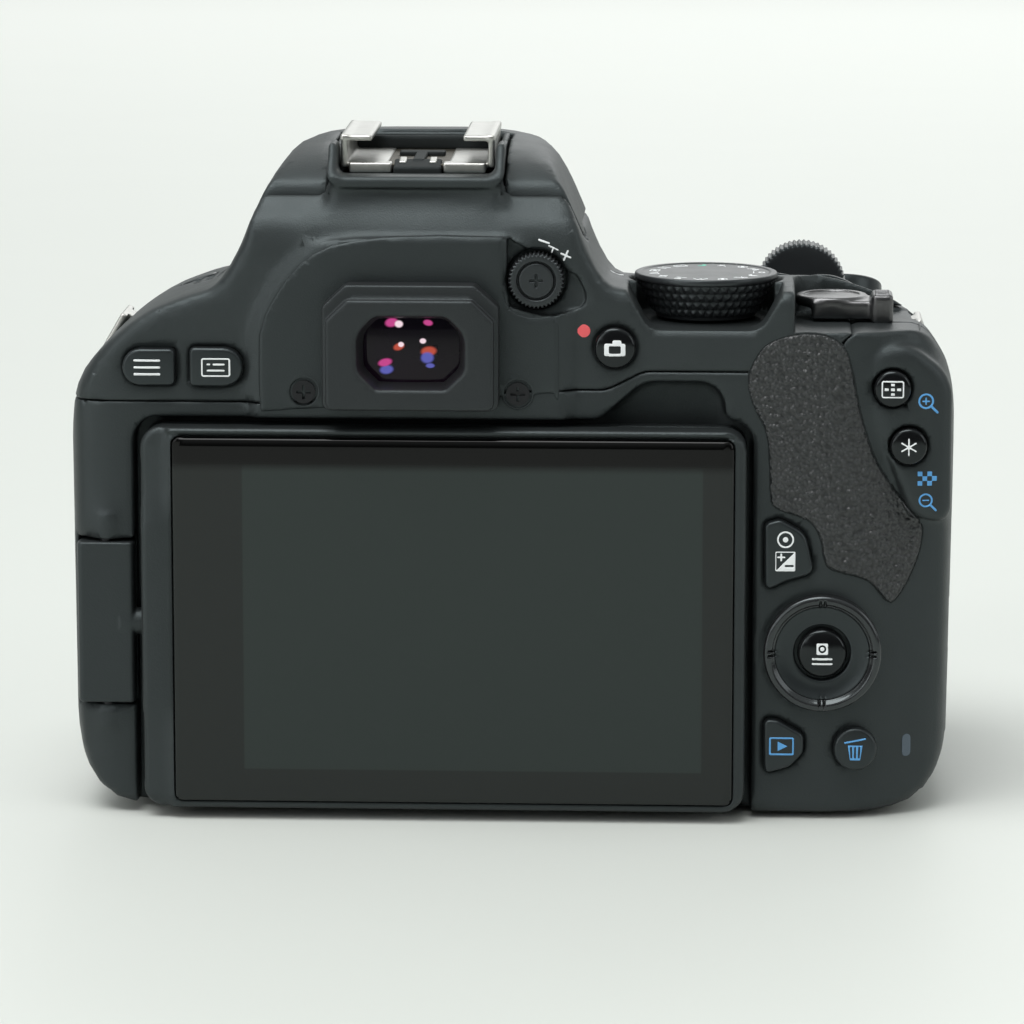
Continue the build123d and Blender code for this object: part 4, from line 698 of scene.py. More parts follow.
make_camera()
make_floor()
make_world()
bpy.context.scene.view_settings.view_transform = "Standard"
soft_box("key_above", (-0.22, -0.30, 1.10), 0.9, 0.7, 11.5)
soft_box("fill_behind", (-0.75, -1.0, 0.55), 0.8, 0.8, 3.0)
soft_box("side_right", (1.0, -0.35, 0.45), 0.6, 0.6, 1.8)
soft_box("edge_left", (-0.80, -0.62, 0.16), 0.10, 0.7, 1.2)
soft_box("fill_front", (0.3, 1.3, 0.7), 1.0, 0.8, 3.4)


# ------------------------------------------------------------------ covers
FLASH_Y, FLASH_Z, FLASH_BASE = -9.5, 85.5, 81.6
HEEL_R = 5.2


def flash_zone(g, grow):
    """Everything of the hump that lifts; grow widens it by the gap."""
    front = both(0, FLASH_Y - g.Y, FLASH_BASE - grow - g.Z)
    heel = disc(g.Y, g.Z, FLASH_Y, FLASH_Z, HEEL_R + 2.0 * grow)
    zone = np.minimum(front, heel)
    return np.maximum(zone, -both(0, np.abs(g.X) - 12.2 + grow, g.Y - SHOE_FRONT - 0.6 + grow))


def make_rear_cover():
    g = Grid((X_LEFT - 1, -22.5, -1), (X_RIGHT + 1, SEAM_Y, 92), STEP)
    d = carve(g, body_form(g))
    d = both(0.25, d, -outline(TOP_SEAM, g.X, g.Z) + SEAM, g.Y - SEAM_Y + SEAM)
    return piece(g, d, "rear_cover_skin", COVER, stands_for="rear_cover", adapt=0.12)


def make_top_cover():
    g = Grid((X_LEFT - 1, -22.5, 57), (X_RIGHT + 1, 38.5, 95.5), STEP)
    d = carve(g, body_form(g))
    d = cut(0.25, d, flash_zone(g, 0.3))
    d = both(0.25, d, outline(TOP_SEAM, g.X, g.Z) + SEAM)
    return piece(g, d, "top_cover_skin", TOP_COVER_PAINTED_LIGHTER, stands_for="top_cover", adapt=0.12)


def make_flash_head():
    g = Grid((-29, -14.5, 80), (29, 38.5, 95.5), STEP)
    d = carve(g, body_form(g))
    d = both(0.3, d, flash_zone(g, 0.0))
    return piece(g, d, "flash_head_skin", TOP_COVER_PAINTED_LIGHTER, "flash_head", "flash_head", adapt=0.12)


def make_front_cover():
    g = Grid((X_LEFT - 1, SEAM_Y - 1, -1), (X_RIGHT + 1, 45, 76), 0.4)
    d = carve(g, body_form(g))
    d = cut(0.3, d, disc(g.X, g.Z, 0, LENS_Z, 28.4))
    for name in ("lens_release_button", "flash_button"):
        low, high = cad(name)
        well = disc(g.X, g.Z, (low[0] + high[0]) / 2, (low[2] + high[2]) / 2, (high[0] - low[0]) / 2 + 0.25)
        d = cut(0.4, d, both(0, well, low[1] - g.Y))
    d = both(0.25, d, -outline(TOP_SEAM, g.X, g.Z) + SEAM, SEAM_Y + SEAM - g.Y)
    return piece(g, d, "front_cover_skin", COVER, stands_for="front_cover", adapt=0.12)


make_rear_cover()
make_top_cover()
make_flash_head()
make_front_cover()


# ------------------------------------------------------------------ back: eyepiece group
def make_panel():
    g = Grid((-22.5, -22.5, 56), (21, -18.5, 82.5), 0.2)
    side = ((12.5, 79.0, 0), (12.6, 71.6, 4), (16.0, 70.4, 3), (20.0, 70.9, 1.5), (20.1, 56.9, 0.5))
    d = both(0.5, shape([*ARCH, *arc_points(side)], g.X, g.Z), slab(g.Y, -20.75, -19))
    d = cut(0.2, d, disc(g.X, g.Z, *DIOPTRE, 4.3))
    for x, z in ((-15.2, 59.9), (14.3, 59.8)):
        d = cut(0.15, d, both(0, disc(g.X, g.Z, x, z, 2.0), g.Y + 20.1))
        d = np.minimum(d, both(0.2, np.abs(disc(g.X, g.Z, x, z, 2.05)) - 0.16, slab(g.Y, -20.9, -20)))
    return piece(g, d, "eyepiece_panel_skin", COVER, stands_for="eyepiece_panel", adapt=0.1)


def make_eyepiece():
    g = Grid((-13, -26.8, 57), (12.6, -19.5, 76), FINE * 1.5)
    outer = outline(((-12.4, 57.8, 1.2), (-12.4, 72.2, 0.8), (-9.2, 75.2, 0.8), (8.5, 75.2, 0.8),
                     (11.8, 72.2, 0.8), (11.8, 57.8, 1.2)), g.X, g.Z)
    inner = outline(((-11.9, 58.1, 1.0), (-11.9, 70.5, 0.6), (-8.9, 73.4, 0.6), (8.3, 73.4, 0.6),
                     (11.3, 70.5, 0.6), (11.3, 58.1, 1.0)), g.X, g.Z)
    d = both(0.35, outer, slab(g.Y, -24.3, -20.3))
    d = join(0.3, d, both(0.5, inner + 0.12 * (g.Y + 26), slab(g.Y, -25.9, -20.3)))
    d = cut(0.45, d, both(0.2, window_outline(g.X, g.Z) + 0.22 * (g.Y + 26), g.Y + 21.4))
    return piece(g, d, "eyepiece_frame_skin", EYE_RUBBER, stands_for="eyepiece_frame", adapt=0.1)


def window_outline(X, Z):
    return outline(((-5.0, 60.9, 0.8), (-7.6, 63.4, 2.0), (-7.7, 68.6, 3.0), (-5.2, 71.2, 2.0),
                    (4.8, 71.2, 2.0), (7.3, 68.6, 3.0), (7.2, 63.4, 2.0), (4.6, 60.9, 0.8)), X, Z)


def coated_glass():
    """Viewfinder glass: near black, with a violet and amber painted reflection of its coating that follows
    the angle.
    """
    mat, tree, base = shader("coated_glass", (0.003, 0.002, 0.004), 0.04, spec=0.15, coat=0.1)
    facing = add(tree, "LayerWeight", {"Blend": 0.35}).outputs["Facing"]
    painted_reflection_hue = add(tree, "ValToRGB", {"Fac": noise(tree, 0.16, 1.0)})
    painted_reflection_hue.color_ramp.elements[0].color = (0.10, 0.02, 0.16, 1)
    painted_reflection_hue.color_ramp.elements[1].color = (0.22, 0.03, 0.05, 1)
    # grazing angles take the coating colour: painted reflection in the base colour
    feed(tree, base, {"Base Color": mix(tree, facing, (0.004, 0.003, 0.006, 1), painted_reflection_hue.outputs["Color"])})
    return mat


def glint(name, colour, strength):
    """Soft patch of light seen in the coating: it fades to nothing at its edge."""
    mat = bpy.data.materials.new(name)
    mat.use_nodes = True
    tree = mat.node_tree
    square = add(tree, "TexCoord", {}).outputs["UV"]
    centred = add(tree, "Mapping", {"Vector": square, "Location": (-1, -1, 0), "Scale": (2, 2, 2)})
    fade = add(tree, "TexGradient", {"Vector": centred.outputs["Vector"]}, gradient_type="SPHERICAL")
    level = span(tree, fade.outputs["Fac"], 0, 0.45, kind="SMOOTHSTEP")
    glow = add(tree, "Emission", {"Color": (*colour, 1), "Strength": strength}).outputs["Emission"]
    clear = add(tree, "BsdfTransparent", {}).outputs["BSDF"]
    blend = add(tree, "MixShader", {"Fac": level, 1: clear, 2: glow})
    feed(tree, tree.nodes["Material Output"], {"Surface": blend.outputs["Shader"]})
    return mat


def make_window():
    g = Grid((-8.4, -23.6, 60), (8, -21, 72), FINE * 1.5)
    bulge = 0.012 * (g.X**2 + (g.Z - 66) ** 2)
    d = both(0.2, window_outline(g.X, g.Z) + 0.1, -22.9 + bulge - g.Y, g.Y + 21.3)
    piece(g, d, "eyepiece_window_glass", coated_glass(), stands_for="eyepiece_window")
    # coating glints, each (x, z, width, height, turn, finish)
    magenta = glint("glint_magenta", (0.72, 0.09, 0.34), 0.75)
    red = glint("glint_red", (0.8, 0.14, 0.09), 0.6)
    blue = glint("glint_blue", (0.16, 0.17, 0.62), 0.7)
    pale = glint("glint_pale", (0.95, 0.75, 0.82), 0.95)
    for i, (x, z, w, h, turn, mat) in enumerate((
        (-2.9, 69.9, 2.2, 1.5, 12, magenta), (-1.9, 69.7, 1.4, 1.2, 0, pale),
        (2.1, 69.9, 1.6, 1.0, -10, magenta), (-1.9, 66.6, 1.9, 1.2, 20, red), (-1.6, 66.9, 1.0, 0.9, 0, pale),
        (1.4, 67.4, 1.1, 0.9, 0, pale), (2.2, 66.0, 2.6, 1.6, 5, red), (2.0, 65.1, 2.2, 1.9, 4, blue),
        (-3.8, 64.4, 2.4, 1.3, 14, magenta), (-3.6, 63.4, 2.3, 1.5, 8, blue), (2.4, 64.0, 1.5, 0.8, 0, blue),
    )):
        y = -23.05 + 0.012 * (x * x + (z - 66) ** 2) - 0.01 * i
        patch(f"coating_glint_{i}", x, y, z, w, h, turn, mat)


def patch(name, x, y, z, width, height, turn, mat):
    """Small upright rectangle facing back, with its own texture square."""
    mesh = bpy.data.meshes.new(name)
    c, s = math.cos(math.radians(turn)), math.sin(math.radians(turn))
    corners = []
    for u, v in ((-1, -1), (1, -1), (1, 1), (-1, 1)):
        px, pz = u * width / 2, v * height / 2
        corners.append(((x + px * c - pz * s) * MM, y * MM, (z + px * s + pz * c) * MM))
    mesh.from_pydata(corners, [], [(0, 1, 2, 3)])
    uv = mesh.uv_layers.new(name="square")
    for loop, at in zip(uv.data, ((0, 0), (1, 0), (1, 1), (0, 1))):
        loop.uv = at
    obj = linked(bpy.data.objects.new(name, mesh))
    mesh.materials.append(mat)
    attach(obj, BODY)


def make_dioptre():
    g = Grid((12, -22, 70.8), (21.6, -17.6, 80.2), FINE)
    x, z = DIOPTRE
    angle = np.arctan2(g.Z - z, g.X - x)
    teeth = 0.16 * np.cos(angle * 40)
    d = both(0.35, disc(g.X, g.Z, x, z, 3.7) + teeth, slab(g.Y, -21.3, -17.9))
    d = cut(0.15, d, both(0.1, disc(g.X, g.Z, x, z, 2.7), g.Y + 20.7))
    d = np.minimum(d, both(0.3, disc(g.X, g.Z, x, z, 2.45), slab(g.Y, -21.15, -18)))
    slot = strokes(g.X - x, g.Z - z, 0.35, (-0.8, 0, 0.8, 0), (0, -0.8, 0, 0.8))
    d = cut(0.05, d, both(0, slot, g.Y + 20.8))
    return piece(g, d, "dioptre_knob_skin", DIAL, "dioptre_knob", "dioptre_knob")


make_panel()
make_eyepiece()
make_window()
make_dioptre()


# ------------------------------------------------------------------ keys and their signs
LINE_SIGNS = {  # stroke width, then strokes
    "bars": (0.34, (-1.7, 0.95, 1.7, 0.95), (-1.7, 0, 1.7, 0), (-1.7, -0.95, 1.7, -0.95)),
    "minus": (0.3, (-0.75, 0.25, 0.75, -0.25)),
    "tee": (0.3, (-0.9, 0.5, 0.9, -0.35), (0, 0.1, -0.35, -0.85)),
    "plus": (0.3, (-0.7, 0.3, 0.7, -0.3), (0.3, 0.7, -0.3, -0.7)),
}


def exposure_sign(U, V, t):
    """Square cut by a diagonal, with a plus and a minus, under a ringed dot."""
    box = rect(U, V, -1.25, 1.25, -2.4, 0.1, 0.1)
    diagonal = (V + 1.15 - U) * 0.7071
    plus = strokes(U, V, t, (-0.97, -0.6, -0.13, -0.6), (-0.55, -1.02, -0.55, -0.18))
    minus = strokes(U, V, t, (0.05, -1.75, 0.95, -1.75))
    upper = both(0, box, 0.048 - diagonal, plus)
    lower = both(0, box, diagonal, -minus)
    ring = frame_of(disc(U, V, 0, 1.75, 1.0), t)
    return union(lower, upper, frame_of(box, 0.16), ring, disc(U, V, 0, 1.75, 0.38))


def zoom_sign(U, V, marks):
    glass = frame_of(disc(U, V, -0.3, 0.3, 1.0), 0.3)
    rod = strokes(U, V, 0.36, (0.5, -0.5, 1.35, -1.35))
    return union(glass, rod, strokes(U, V, 0.24, *marks))


def icon(kind, U, V):
    """Generic pictogram about the origin, in its own units."""
    t = 0.26
    if kind in LINE_SIGNS:
        return strokes(U, V, *LINE_SIGNS[kind])
    if kind == "card":
        box = frame_of(rect(U, V, -2.0, 2.0, -1.25, 1.25, 0.25), t)
        return union(box, strokes(U, V, 0.3, (-1.2, 0.45, -0.9, 0.45), (-0.3, 0.45, 1.2, 0.45),
                                  (-1.2, -0.45, 1.2, -0.45)))
    if kind == "exposure":
        return exposure_sign(U, V, t)
    if kind == "camera":
        body = union(rect(U, V, -1.55, 1.55, -1.1, 0.75, 0.3), rect(U, V, -0.35, 0.95, 0, 1.25, 0.25))
        return np.maximum(body, -rect(U, V, -0.85, 0.85, -0.7, 0.35, 0.15))
    if kind == "points":
        box = frame_of(rect(U, V, -1.65, 1.65, -1.25, 1.25, 0.25), t)
        middles = ((0, 0), (0, 0.75), (0, -0.75), (-0.95, 0), (0.95, 0))
        return union(box, *(rect(U, V, u - 0.33, u + 0.33, v - 0.22, v + 0.22) for u, v in middles))
    if kind == "star":
        tips = [(1.3 * math.cos(a), 1.3 * math.sin(a)) for a in np.radians((90, 150, 210))]
        return strokes(U, V, 0.28, *((-u, -v, u, v) for u, v in tips))
    if kind == "set":
        plate = rect(U, V, -0.8, 0.8, 0.1, 1.7, 0.15)
        plate = np.maximum(plate, -frame_of(disc(U, V, 0, 0.92, 0.42), 0.22))
        return union(plate, strokes(U, V, 0.3, (-1.3, -0.5, 1.3, -0.5), (-1.3, -1.2, 1.3, -1.2)))
    if kind == "play":
        arrow = np.maximum(np.abs(V) * 0.89 + U * 0.45 - 0.38, -U - 0.55)
        return union(frame_of(rect(U, V, -1.6, 1.6, -1.15, 1.15, 0.1), 0.28), arrow)
    if kind == "bin":
        can = np.maximum(np.abs(U) - 1.0 - 0.16 * V, slab(V, -1.6, 0.65))
        ribs = strokes(U, V, t, (0, -1.15, 0, 0.3), (-0.55, -1.15, -0.6, 0.3), (0.55, -1.15, 0.6, 0.3))
        return union(np.maximum(can, -ribs), strokes(U, V, 0.28, (-1.5, 1.0, 1.45, 1.6)))
    if kind == "zoom_in":
        return zoom_sign(U, V, ((-0.75, 0.3, 0.15, 0.3), (-0.3, -0.15, -0.3, 0.75)))
    if kind == "zoom_out":
        return zoom_sign(U, V, ((-0.75, 0.3, 0.15, 0.3),))
    if kind == "checker":
        cells = [((i - 2) * 0.78, (j - 1.5) * 0.78) for i in range(4) for j in range(3) if (i + j) % 2 == 0]
        return union(*(rect(U, V, u, u + 0.8, v, v + 0.8) for u, v in cells))
    if kind == "dot":
        return disc(U, V, 0, 0, 1)
    raise ValueError(kind)


def decal(name, field_of, low, high, mark, mat, body=BODY, lift=0.035):
    """Print that follows the skin of a field: the mark is a plane distance over the grid."""
    g = Grid(low, high, 0.075)
    field = field_of(g)
    d = both(0, field - lift, -(field + 0.22), mark(g))
    return piece(g, d, name, mat, body)


def sign(name, field_of, low, high, at, mat, body=BODY, lift=0.035):
    """Decal of an icon; at is its kind, place in X and Z, and scale in millimetres."""
    kind, x, z, s = at

    def mark(g):
        return s * icon(kind, (g.X - x) / s, (g.Z - z) / s)

    return decal(name, field_of, low, high, mark, mat, body, lift)


def key_field(key):
    """Distance field of a moulded key with a domed or flat rear face."""
    def field(g):
        if "r" in key:
            cx, cz = key["at"]
        else:
            cx, cz = np.array([c[:2] for c in key["shape"]]).mean(0)
        swell = key["dome"] * ((g.X - cx) ** 2 + (g.Z - cz) ** 2)
        side = key_outline(key, g.X, g.Z)
        return both(key.get("edge", 0.45), side, key["top"] + swell - g.Y, g.Y - key["floor"] - 0.6)
    return field


SIGNS = {  # icon, its place and scale, its colour and the finish of the key
    "menu_button": (("bars", -36.8, 63.15, 1.0), PRINT, SMOOTH),
    "info_button": (("card", -27.3, 63.2, 0.95), PRINT, SMOOTH),
    "exposure_button": (("exposure", 51.2, 37.9, 1.05), PRINT, SMOOTH),
    "playback_button": (("play", 50.9, 10.6, 1.0), PRINT_BLUE, SMOOTH),
    "erase_button": (("bin", 61.1, 10.2, 0.95), PRINT_BLUE, SMOOTH),
    "live_view_button": (("camera", 27.6, 66.2, 0.95), PRINT, GLOSSY),
    "focus_point_button": (("points", 65.7, 60.6, 0.88), PRINT, GLOSSY),
    "exposure_lock_button": (("star", 68.0, 52.6, 0.85), PRINT, GLOSSY),
}


def make_keys():
    for name, (at, colour, finish) in SIGNS.items():
        key = BACK_KEYS[name]
        low, high = key_span(key)
        y0, y1 = key["top"] - 0.4, key["floor"] + 1.0
        field = key_field(key)
        g = Grid((low[0] + 0.6, y0, low[1] + 0.6), (high[0] - 0.6, y1, high[1] - 0.6), FINE)
        piece(g, field(g), name + "_cap", finish, name, name)
        _, x, z, s = at
        low, high = (x - 2.3 * s, y0, z - 2.6 * s), (x + 2.3 * s, key["top"] + 0.8, z + 2.9 * s)
        sign(name + "_sign", field, low, high, at, colour, name)


def make_cross_keys():
    key = BACK_KEYS["cross_key_ring"]
    cx, cz = key["at"]
    g = Grid((cx - 8.4, -22.0, cz - 8.4), (cx + 8.4, -18.4, cz + 8.4), FINE * 1.3)
    r = np.sqrt((g.X - cx) ** 2 + (g.Z - cz) ** 2)
    ring = np.maximum(r - key["r"] + 0.1, 3.85 - r)
    rise = 0.35 + 0.95 * np.clip((r - 4.2) / 3.0, 0, 1) ** 2
    d = both(0.4, ring, -20.0 - rise - g.Y, g.Y + 18.7)
    d = join(0.25, d, np.sqrt((r - 7.45) ** 2 + (g.Y + 20.95) ** 2) - 0.52)
    for k in range(4):
        c, s = math.cos(k * math.pi / 2), math.sin(k * math.pi / 2)
        along, across = (g.X - cx) * c + (g.Z - cz) * s, -(g.X - cx) * s + (g.Z - cz) * c
        pair = frame_of(np.abs(across) - 0.32, 0.26)
        d = cut(0.05, d, both(0, slab(along, 5.9, 7.5), pair, g.Y + 20.7))
    dish_r = 6.55
    piece(g, np.maximum(d, dish_r - r), "cross_key_rim", GLOSS_RIM, "cross_keys", "cross_key_ring")
    piece(g, np.maximum(d, r - dish_r), "cross_key_dish", SMOOTH, "cross_keys")
    centre = dict(at=(cx, cz), r=3.45, top=-21.35, floor=-18.9, dome=0.05, edge=0.6)
    field = key_field(centre)
    g = Grid((cx - 3.7, -22, cz - 3.7), (cx + 3.7, -17.6, cz + 3.7), FINE)
    piece(g, field(g), "set_button_cap", GLOSSY, "set_button", "set_button")
    sign("set_button_sign", field, (cx - 2.2, -22, cz - 2.2), (cx + 2.2, -20.5, cz + 2.2),
         ("set", cx, cz - 0.2, 1.0), PRINT, "set_button")


make_keys()
make_cross_keys()


# ------------------------------------------------------------------ vari-angle screen
GLASS = (-33.3, 44.05, 2.6, 53.85)  # x0, x1, z0, z1
LCD = (-23.6, 39.8, 7.25, 49.5)
SCREEN_SPLIT = -18.0


def screen_glass_painted_reflection():
    """Cover glass: a lit display area and a darker surround, their tones partly a painted reflection of the
    room, and a painted dark reflection band along the top.
    """
    mat, tree, base = shader("screen_cover_glass", (0.01, 0.01, 0.01), 0.07, spec=0.22)
    at = add(tree, "SeparateXYZ", {"Vector": place(tree)}).outputs

    def step(axis, edge, soft, low=0.0, high=1.0):
        return span(tree, at[axis], edge - soft, edge + soft, low, high, "SMOOTHSTEP")

    def times(a, b):
        return add(tree, "Math", {0: a, 1: b}, operation="MULTIPLY").outputs["Value"]

    across = times(step("X", LCD[0], 0.12), step("X", LCD[1], 0.12, 1, 0))
    upright = times(step("Z", LCD[2], 0.12), step("Z", LCD[3] + 0.6, 0.9, 1, 0))
    # display area lighter than its surround, both tones raised by a painted reflection of the room
    display_tone_and_painted_reflection = mix(tree, times(across, upright), (0.0175, 0.0205, 0.0195, 1), (0.0245, 0.0325, 0.0305, 1))
    # painted dark reflection band along the top of the glass
    painted_dark_band = step("Z", LCD[3] + 0.3, 0.9)
    feed(tree, base, {
        "Base Color": mix(tree, painted_dark_band, display_tone_and_painted_reflection, (0.0015, 0.0015, 0.0015, 1)),
        "Roughness": span(tree, noise(tree, 0.08, 4.0), 0, 1, 0.05, 0.10),
    })
    return mat


def make_screen():
    x0, z0, x1, z1 = SCREEN_LOW[0], SCREEN_LOW[2], SCREEN_HIGH[0], SCREEN_HIGH[2]
    step = 0.24
    g = Grid((x0, -23.6, z0), (x1, SCREEN_SPLIT, z1), step)
    side = rect(g.X, g.Z, x0, x1, z0, z1, 3.0)
    lip = 0.55 * np.clip((g.X - 43.9) / 1.0, 0, 1) + 0.35 * np.clip((z0 + 1.4 - g.Z) / 0.6, 0, 1)
    rest = np.clip(np.maximum((g.Z - 41.5) / 5.5, (16.5 - g.Z) / 3.5), 0, 1)
    low = 0.75 * rest * np.clip((-33.6 - g.X) / 0.8, 0, 1)
    groove = 0.5 * np.clip(1 - np.abs(g.Z - z1 + 0.95) / 0.35, 0, 1)
    d = both(0.75, side, -23.2 + low + lip + groove * (g.X > -34) - g.Y, g.Y - SCREEN_SPLIT + 0.03)
    d = cut(0.15, d, both(0, rect(g.X, g.Z, *GLASS, 1.1) - 0.12, g.Y + 22.3))
    piece(g, d, "screen_frame_skin", COVER, "screen", "screen_front_frame", adapt=0.15)
    g = Grid((GLASS[0], -23.5, GLASS[2]), (GLASS[1], -22.2, GLASS[3]), step)
    d = both(0.18, rect(g.X, g.Z, *GLASS, 1.1), slab(g.Y, -23.3, -22.3))
    piece(g, d, "screen_glass_skin", screen_glass_painted_reflection(), "screen", "screen_glass", adapt=0.3)
    g = Grid((x0, SCREEN_SPLIT - 0.2, z0), (x1, -15.4, z1), step)
    side = rect(g.X, g.Z, x0, x1, z0, z1, 3.0)
    panel = rect(g.X, g.Z, x0 + 5, x1 - 5, z0 + 5, z1 - 5, 2)
    back = -15.6 - 0.35 * np.clip(1 - np.abs(panel) / 0.5, 0, 1)
    d = both(0.9, side, SCREEN_SPLIT + 0.03 - g.Y, g.Y - back)
    gap = rect(g.X, g.Z, x0 - 1, SWING_X + 9.2, KNUCKLE_LOW[2] + 7.2, KNUCKLE_HIGH[2] - 7.2, 0.5)
    d = cut(0.2, d, both(0, gap, -19.5 - g.Y))
    piece(g, d, "screen_back_skin", COVER, "screen", "screen_back_shell", adapt=0.15)


def make_knuckle():
    """Swing hinge at the left flank: a rounded bar with the tilt axle going into the module."""
    z0, z1 = KNUCKLE_LOW[2], KNUCKLE_HIGH[2]
    g = Grid((-49.5, -21.5, z0 - 0.5), (-32.5, -13.9, z1 + 0.5), 0.18)
    round_ = disc(g.X, g.Y, SWING_X, SWING_Y, 4.1)
    flank = rect(g.X, g.Y, -47.05, SWING_X, -20.3, -14.6, 3.2)
    bar = both(0.5, union(round_, flank), slab(g.Z, z0, z1))
    bar = both(0.4, bar, -20.35 - g.Y, g.X + 38.95)
    axle = np.maximum(disc(g.Y, g.Z, SWING_Y, (z0 + z1) / 2, 1.85), slab(g.X, -41, -33.6))
    d = join(0.4, bar, axle)
    return piece(g, d, "screen_hinge_skin", COVER, "screen_hinge", "screen_hinge")


make_screen()
make_knuckle()


# ------------------------------------------------------------------ accessory shoe
def make_shoe():
    g = Grid((-11.2, -13.2, 88.9), (11.2, 9.8, 94.8), FINE * 1.5)
    x = np.abs(g.X)
    wall = both(0.2, slab(x, 9.75, 10.6), slab(g.Z, 89.9, 94.3), slab(g.Y, -11.0, 8.2))
    lip = both(0.25, slab(x, 6.3, 10.6), slab(g.Z, 93.5, 94.3), slab(g.Y, -11.0, 8.2))
    floor_ = both(0.1, slab(x, 4.2, 10.6), slab(g.Z, 89.9, 90.5), slab(g.Y, -10.6, 8.2))
    sheet = join(0.4, join(0.4, wall, lip), floor_)
    tab = both(0.3, slab(x, 3.5, 9.5), slab(g.Z, 89.15, 90.6), slab(g.Y, -11.9, -9.6))
    sheet = join(0.2, sheet, tab)
    piece(g, sheet, "shoe_rails_bent_sheet", STEEL, stands_for="hot_shoe_rails", adapt=0.1)
    g = Grid((-11.0, -15, 89.2), (11.0, 9.8, 92.4), FINE * 1.5)
    plate = both(0.15, np.abs(g.X) - 9.7, slab(g.Y, -10.8, 9.2), slab(g.Z, 89.5, 90.3))
    worn = 0.05 * np.sin(g.Y * 9 + np.sin(g.X * 3)) * (np.abs(g.X) < 4)
    piece(g, plate + worn, "shoe_floor_plate", WORN, stands_for="hot_shoe_base", adapt=0.1)
    wall = both(0.3, np.abs(g.X) - 10.6, slab(g.Y, 8.3, 9.5), slab(g.Z, 90.2, 92.2))
    piece(g, wall, "shoe_front_stop", DARK, adapt=0.1)
    g = Grid((-4.6, -14.2, 88.7), (4.6, 4, 92.2), FINE * 1.2)
    x, slope = np.abs(g.X), 0.2 * (g.Y + 12.4)
    tongue = both(0.3, x - 3.3, slab(g.Y, -12.6, -8.6), g.Z - 90.1 - slope, 88.9 - g.Z)
    stem = both(0.2, x - 0.8, slab(g.Y, -9.5, 0.5), slab(g.Z, 90.0, 90.9))
    bar = both(0.2, x - 3.2, slab(g.Y, -0.6, 2.0), slab(g.Z, 90.0, 90.9))
    piece(g, union(tongue, stem, bar), "shoe_black_tongue", DARK)
    strips = both(0.1, slab(x, 1.6, 2.6), slab(g.Y, -10.6, -8.4), g.Z - 90.3 - slope, 90.0 - g.Z)
    piece(g, strips, "shoe_spring_strips", STEEL)


# ------------------------------------------------------------------ dials and lever
def dial_icons(U, V):
    """Ten line drawings for the mode dial, about the origin, 2.2 mm tall at most."""
    w = 0.2
    box = rect(U, V, -0.8, 0.8, -0.6, 0.6, 0.1)
    return (
        union(frame_of(disc(U, V, 0, 0.45, 0.42), w), strokes(U, V, w, (-0.8, -0.7, 0.8, -0.7))),
        strokes(U, V, w, (-1, -0.6, -0.3, 0.6), (-0.3, 0.6, 0.2, -0.2), (0, 0.1, 0.4, 0.4),
                (0.4, 0.4, 1, -0.6)),
        union(disc(U, V, 0, 0.3, 0.3), frame_of(disc(U, V, 0, 0.3, 0.65), w)),
        strokes(U, V, w, (-0.7, -0.7, 0, 0), (0, 0, 0.6, 0.6), (-0.2, 0.5, 0.3, 0.2), (0, 0, 0.6, -0.5)),
        np.maximum(disc(U, V, 0, 0, 0.8), -disc(U, V, 0.4, 0.25, 0.7)),
        frame_of(rect(U, V, -0.9, 0.9, -0.6, 0.6, 0.2), w),
        strokes(U, V, 0.26, (-0.5, -0.7, -0.5, 0.7), (0.5, -0.7, 0.5, 0.7)),
        union(frame_of(box, w), disc(U, V, 0, 0, 0.28)),
        strokes(U, V, w, (-0.8, -0.5, 0, 0.7), (0, 0.7, 0.8, -0.5), (-0.8, -0.5, 0.8, -0.5)),
        strokes(U, V, 0.26, (-0.7, 0, 0.7, 0), (0, -0.7, 0, 0.7)),
    )


def make_mode_dial():
    g = Grid((DIAL_X - 10.4, DIAL_Y - 10.4, 68.4), (DIAL_X + 10.4, DIAL_Y + 10.4, 75.4), FINE * 1.25)
    x, y = g.X - DIAL_X, g.Y - DIAL_Y
    r, turn = np.sqrt(x * x + y * y), np.arctan2(y, x) * 44 / (2 * math.pi)
    t = np.clip((g.Z - 69.4) / 4.6, 0, 0.9999) * 4
    row = np.floor(t)
    across = np.abs(2 * np.mod(turn + 0.5 * np.mod(row, 2), 1) - 1)
    up = np.abs(2 * (t - row) - 1)
    pyramid = 0.5 * (1 - np.maximum(across, up))
    cone = r - (7.4 + 2.5 * np.clip((g.Z - 69.2) / 4.9, 0, 1)) + 0.42 - pyramid
    d = both(0.15, cone, slab(g.Z, 68.9, 74.3))
    cap = both(0.3, r - 9.95, slab(g.Z, 74.05, 75.0))
    cap = cut(0.1, cap, both(0, r - 8.9, 74.85 - g.Z))
    d = join(0.15, d, cap)
    piece(g, d, "mode_dial_knurled", DIAL, "mode_dial", "mode_dial", adapt=0.05)
    g = Grid((DIAL_X - 9.2, DIAL_Y - 9.2, 74.4), (DIAL_X + 9.2, DIAL_Y + 9.2, 75.2), FINE)
    x, y = g.X - DIAL_X, g.Y - DIAL_Y
    marks = []
    for k in range(15):
        a = 2 * math.pi * k / 15
        u = -x * math.sin(a) + y * math.cos(a)
        v = x * math.cos(a) + y * math.sin(a) - 7.3
        marks.append(dial_icons(u, v)[k % 10])
    green = marks.pop(4)
    for i, (mark, mat) in enumerate(((union(*marks), PRINT), (green, PRINT_GREEN))):
        piece(g, both(0, mark, slab(g.Z, 74.6, 74.9)), f"mode_dial_marks_{i}", mat, "mode_dial")


